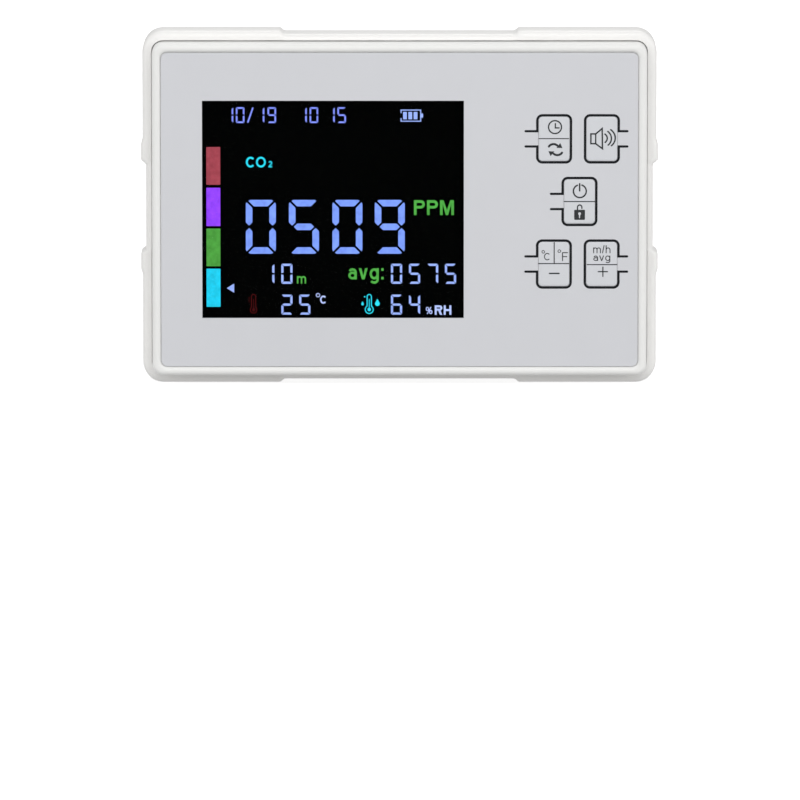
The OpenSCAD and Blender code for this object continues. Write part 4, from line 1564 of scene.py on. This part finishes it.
@dataclass
class Key:
    """One membrane key: its domed face, the outline printed round it and the symbols on it.

    Sizes are in millimetres, angles in degrees.
    """

    name: str
    side: Side
    lift: float = 0.2
    shoulder: float = 0.9
    corner: float = 1.1
    outline: tuple[float, float] = (9.55, 13.40)
    outline_corner: float = 1.45
    outline_width: float = 0.65
    lead_gap: float = 2.17
    letter_weight: float = 0.26
    line: float = 0.42
    divider: float = 0.28
    ink: float = 0.02
    dome_steps: int = 8
    corner_pull: float = 0.6
    least_corner: float = 0.5
    crease: float = 40.0
    dark: Colour = paint(14, 16, 20)
    symbol: Colour = paint(46, 48, 50)

    def __post_init__(self) -> None:
        """Reads the key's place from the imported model."""
        self.low, self.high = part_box(f"key_{self.name}_face")
        face = middle_of_face()
        middle = (self.low + self.high) / 2
        self.at = ((middle.x - face.x) / MM, (middle.z - face.z) / MM)
        self.overlay = face.y

    def face(self) -> None:
        """The embossed face, flat in the middle and rounded down to the overlay at its edges."""
        width, height = (self.high.x - self.low.x) / MM, (self.high.z - self.low.z) / MM
        middle = middle_of_face()
        sections = [(0.0, self.high.y), (0.0, self.overlay)]
        for step in range(1, self.dome_steps + 1):
            turn = math.pi / 2 * step / self.dome_steps
            inset = self.shoulder * (1 - math.cos(turn))
            sections.append((inset, self.overlay - self.lift * MM * math.sin(turn)))
        rings = []
        for inset, y in sections:
            radius = max(self.corner - self.corner_pull * inset, self.least_corner)
            loop = rounded(self.at, width - 2 * inset, height - 2 * inset, radius, 6)
            rings.append([(middle.x + x * MM, y, middle.z + z * MM) for x, z in loop])
        data = loft(rings)
        smooth_but_creased(data, self.crease)
        material = SLOT_FINISHES["key_film"].material(f"key_{self.name}")
        made = place_piece(f"key_{self.name}_dome", data, material, f"{self.name}_key")
        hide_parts(f"key_{self.name}_face")

    def printed_outline(self) -> None:
        """The thick outline on the overlay, open at one side with two leads."""
        sign, reach = self.side.value
        width, height = self.outline
        loop = rounded((0, 0), width, height, self.outline_corner, 8)
        turned = [(-x, z) for x, z in loop][::-1] if sign > 0 else loop
        path = [(-x, z) if sign > 0 else (x, z) for x, z in self._from_gap(turned, -width / 2)]
        if path[0][1] < 0:
            path.reverse()
        upper, lower = ([(x, z) for x in (sign * reach, sign * width / 2)]
                        for z in (self.lead_gap, -self.lead_gap))
        full = [*upper, *path, *lower[::-1]]
        work = FlatWork(self.overlay - self.ink * MM, self.ink * MM)
        work.add(stroke(moved(full, self.at), self.outline_width, round_ends=True))
        work.piece(f"key_{self.name}_outline", Ink(self.dark), "case")

    @staticmethod
    def _from_gap(loop: list[Point], edge: float) -> list[Point]:
        """Turns a loop so that it starts and ends at its left side.

        Args:
            loop: The closed loop's points.
            edge: Where its left side is.

        Returns:
            The points, from one end of the left side round to the other.
        """
        count = len(loop)
        first = next(i for i in range(count)
                     if abs(loop[i][0] - edge) < 1e-6 and abs(loop[(i + 1) % count][0] - edge) < 1e-6)
        return [loop[(first + 1 + i) % count] for i in range(count)]

    def symbols(self, work: FlatWork) -> None:
        """Draws what is printed on this key.

        Args:
            work: The flat work that it is added to.
        """
        drawing = {"clock": self._clock, "sound": self._sound, "power": self._power,
                   "unit": self._unit, "average": self._average}[self.name]
        drawing(work)

    def _lines(self, work: FlatWork, width: float, *paths: list[Point], closed: bool = False) -> None:
        """Adds lines that are drawn about the key's middle."""
        for path in paths:
            work.add(stroke(moved(path, self.at), width, closed, round_ends=not closed))

    def _solid(self, work: FlatWork, outline: list[Point], *holes: list[Point]) -> None:
        """Adds a filled shape that is drawn about the key's middle."""
        work.add(Shape(moved(outline, self.at), tuple(moved(hole, self.at) for hole in holes)))

    def _write(self, work: FlatWork, text: str, height: float, left: float, right: float,
               base: float) -> None:
        """Adds light lettering between two limits about the key's middle."""
        style = Lettering(height, self.letter_weight)
        work.write(text, style, self.at[0] + left, self.at[0] + right, self.at[1] + base)

    def _clock(self, work: FlatWork) -> None:
        """A clock over two arrows that chase each other.

        Args:
            work: The flat work that it is added to.
        """
        centre = (0.24, 3.35)
        self._lines(work, 0.38, circle(centre, 1.83, 40), closed=True)
        self._lines(work, 0.36, [(0.33, 4.35), (0.33, 3.12), (1.4, 3.12)])
        self._lines(work, 0.26, [(-4.3, 0.08), (4.1, 0.08)])
        pivot = (0.37, -3.04)
        sweep = arc((-0.54, -0.04), 1.6, 145, 48, 12)
        head = [(1.36, 1.86), (0.29, 0.50), (1.97, 0.46)]
        for sign in (1, -1):
            turned = [(pivot[0] + sign * x, pivot[1] + sign * z) for x, z in sweep]
            self._lines(work, 0.62, turned)
            self._solid(work, [(pivot[0] + sign * x, pivot[1] + sign * z) for x, z in head])

    def _sound(self, work: FlatWork) -> None:
        """A loudspeaker with three waves.

        Args:
            work: The flat work that it is added to.
        """
        horn = [(-3.12, 1.42), (-1.76, 1.42), (0.06, 2.95), (0.16, -2.78), (-1.76, -1.36), (-3.12, -1.36)]
        self._lines(work, self.line, horn, closed=True)
        self._lines(work, 0.38, [(-1.76, 1.3), (-1.76, -1.25)])
        waves = (((0.85, 1.37), (1.50, 0.2), (0.91, -0.98)), ((1.67, 2.12), (2.68, 0.2), (1.78, -1.75)),
                 ((2.48, 2.6), (3.76, 0.3), (2.70, -1.92)))
        self._lines(work, self.line, *(arc_through(*wave) for wave in waves))

    def _power(self, work: FlatWork) -> None:
        """The power symbol over an open padlock.

        Args:
            work: The flat work that it is added to.
        """
        centre = (0.09, 2.95)
        self._lines(work, self.line, arc(centre, 1.82, 112, 431, 40))
        self._lines(work, self.line, [(0.04, 5.05), (0.04, 3.05)])
        self._lines(work, self.divider, [(-4.3, 0.0), (4.25, 0.0)])
        body = rounded((0.03, -3.77), 3.06, 2.86, 0.25, 4)
        keyhole = [*arc((0.03, -3.44), 0.4, -60, 240, 14), (-0.1, -4.72), (0.16, -4.72)]
        self._solid(work, body, keyhole)
        shackle = [(-0.56, -2.4), (-0.56, -1.6), *arc((0.06, -1.6), 0.62, 180, 0, 12)[1:], (0.68, -1.95)]
        self._lines(work, 0.36, shackle)

    def _unit(self, work: FlatWork) -> None:
        """Degrees Celsius and Fahrenheit over a minus.

        Args:
            work: The flat work that it is added to.
        """
        self._lines(work, self.divider, [(-4.3, 0.15), (4.2, 0.15)], [(0.07, 0.25), (0.07, 6.15)])
        self._lines(work, 0.2, circle((-3.02, 3.5), 0.38, 20), circle((1.52, 3.7), 0.38, 20), closed=True)
        self._write(work, "C", 2.1, -2.8, -0.98, 1.08)
        self._write(work, "F", 2.5, 2.3, 3.93, 0.88)
        self._lines(work, 0.40, [(-1.25, -2.65), (1.45, -2.65)])

    def _average(self, work: FlatWork) -> None:
        """Readings per hour and their average over a plus.

        Args:
            work: The flat work that it is added to.
        """
        self._lines(work, self.divider, [(-4.1, -0.15), (4.3, -0.15)])
        self._write(work, "m/h", 2.25, -2.4, 2.5, 3.1)
        self._write(work, "avg", 2.1, -2.35, 2.45, 0.9)
        self._lines(work, 0.33, [(-0.95, -2.15), (1.65, -2.15)], [(0.36, -0.85), (0.36, -3.5)])

    def build(self) -> None:
        """Makes the key's pieces."""
        self.face()
        self.printed_outline()
        top = self.overlay - self.lift * MM
        work = FlatWork(top - self.ink * MM, self.ink * MM)
        self.symbols(work)
        work.piece(f"key_{self.name}_symbols", Ink(self.symbol), f"{self.name}_key")


# ---- Studio ----

@dataclass(frozen=True)
class Softbox:
    """A large soft lamp that is aimed at the monitor and that the camera does not see."""

    name: str
    place: tuple[float, float, float]
    size: float
    power: float

    def build(self) -> None:
        """Hangs the lamp and turns it to the monitor."""
        lamp = bpy.data.lights.new(self.name, "AREA")
        lamp.shape = "SQUARE"
        lamp.size = self.size
        lamp.energy = self.power
        made = into_scene(self.name, lamp)
        made.visible_camera = False
        made.location = self.place
        way = middle_of_face() - Vector(self.place)
        made.rotation_euler = way.to_track_quat("-Z", "Y").to_euler()


@dataclass
class Studio:
    """A pale floor, soft light and the camera.

    The floor's size, the camera's distance and its sight are in metres, other sizes in millimetres.
    """

    ambient: float = 0.49
    floor_size: float = 16.0
    floor_drop: float = 0.02
    floor_colour: Colour = paint(240, 240, 241)
    floor_glow: float = 0.55
    distance: float = 3.0
    elevation: float = 6.25
    below_middle: float = 53.7
    aside: float = 0.15
    view_width: float = 226.2
    sensor: float = 36.0
    sight: float = 100.0

    def floor(self) -> None:
        """A wide lit sheet that the monitor stands on; it does not throw its own light up at the monitor."""
        half = self.floor_size / 2
        data = bpy.data.meshes.new("floor")
        corners = ((-half, -half), (half, -half), (half, half), (-half, half))
        data.from_pydata([(x, y, -self.floor_drop * MM) for x, y in corners], [], [(0, 1, 2, 3)])
        data.materials.append(StudioFloor(self.floor_colour, self.floor_glow).material("floor"))
        made = into_scene("floor", data)
        made.visible_diffuse = False

    def light(self) -> None:
        """The room's own light and the softboxes."""
        world = bpy.data.worlds.new("studio")
        world.use_nodes = True
        background = world.node_tree.nodes["Background"]
        background.inputs["Color"].default_value = (1.0, 1.0, 1.0, 1.0)
        background.inputs["Strength"].default_value = self.ambient
        bpy.context.scene.world = world
        for softbox in (Softbox("key softbox", (0.0, -1.7, 1.15), 1.6, 17.5),
                        Softbox("left softbox", (-1.6, -0.9, 0.6), 1.0, 7.0),
                        Softbox("right softbox", (1.6, -0.9, 0.6), 1.0, 9.5),
                        Softbox("rear softbox", (0.0, 1.6, 1.6), 1.4, 11.5)):
            softbox.build()

    def camera(self) -> None:
        """The camera, a little above the middle of the face, which it has in the upper half of its view."""
        face = Vector((0.0, CAD_BOX[0].y, middle_of_face().z))
        rise = math.radians(self.elevation)
        extra = math.atan(self.below_middle * MM / self.distance)
        data = bpy.data.cameras.new("camera")
        data.sensor_width = self.sensor
        data.lens = self.sensor * self.distance * math.cos(extra) / (self.view_width * MM)
        data.clip_end = self.sight
        made = into_scene("camera", data)
        made.location = face + Vector((self.aside * MM, -self.distance * math.cos(rise),
                                       self.distance * math.sin(rise)))
        made.rotation_euler = (math.pi / 2 - rise - extra, 0.0, 0.0)
        bpy.context.scene.camera = made
        bpy.context.scene.view_settings.view_transform = "Standard"

    def build(self) -> None:
        """Sets up the studio."""
        self.floor()
        self.light()
        self.camera()


def dress_packed_pieces() -> None:
    """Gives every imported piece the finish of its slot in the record."""
    materials = {slot: finish.material(slot) for slot, finish in SLOT_FINISHES.items()}
    for part in frame["record"]["subparts"]:
        node = frame["nodes"][part["node"]]
        for place in node.material_slots:
            place.material = materials[part["material_slot"]]
        LOG.info("%s: finish %s", part["node"], part["material_slot"])


def main() -> None:
    """Builds the monitor's looks, piece by piece."""
    logging.basicConfig(level=logging.INFO, format="%(message)s")
    Studio().build()
    dress_packed_pieces()
    MiddleFrame().build()
    DustFilter().build()
    Display().build()
    for name, side in (("clock", Side.LEFT), ("sound", Side.RIGHT), ("power", Side.LEFT),
                       ("unit", Side.LEFT), ("average", Side.RIGHT)):
        Key(name, side).build()


if __name__ == "__main__":
    main()
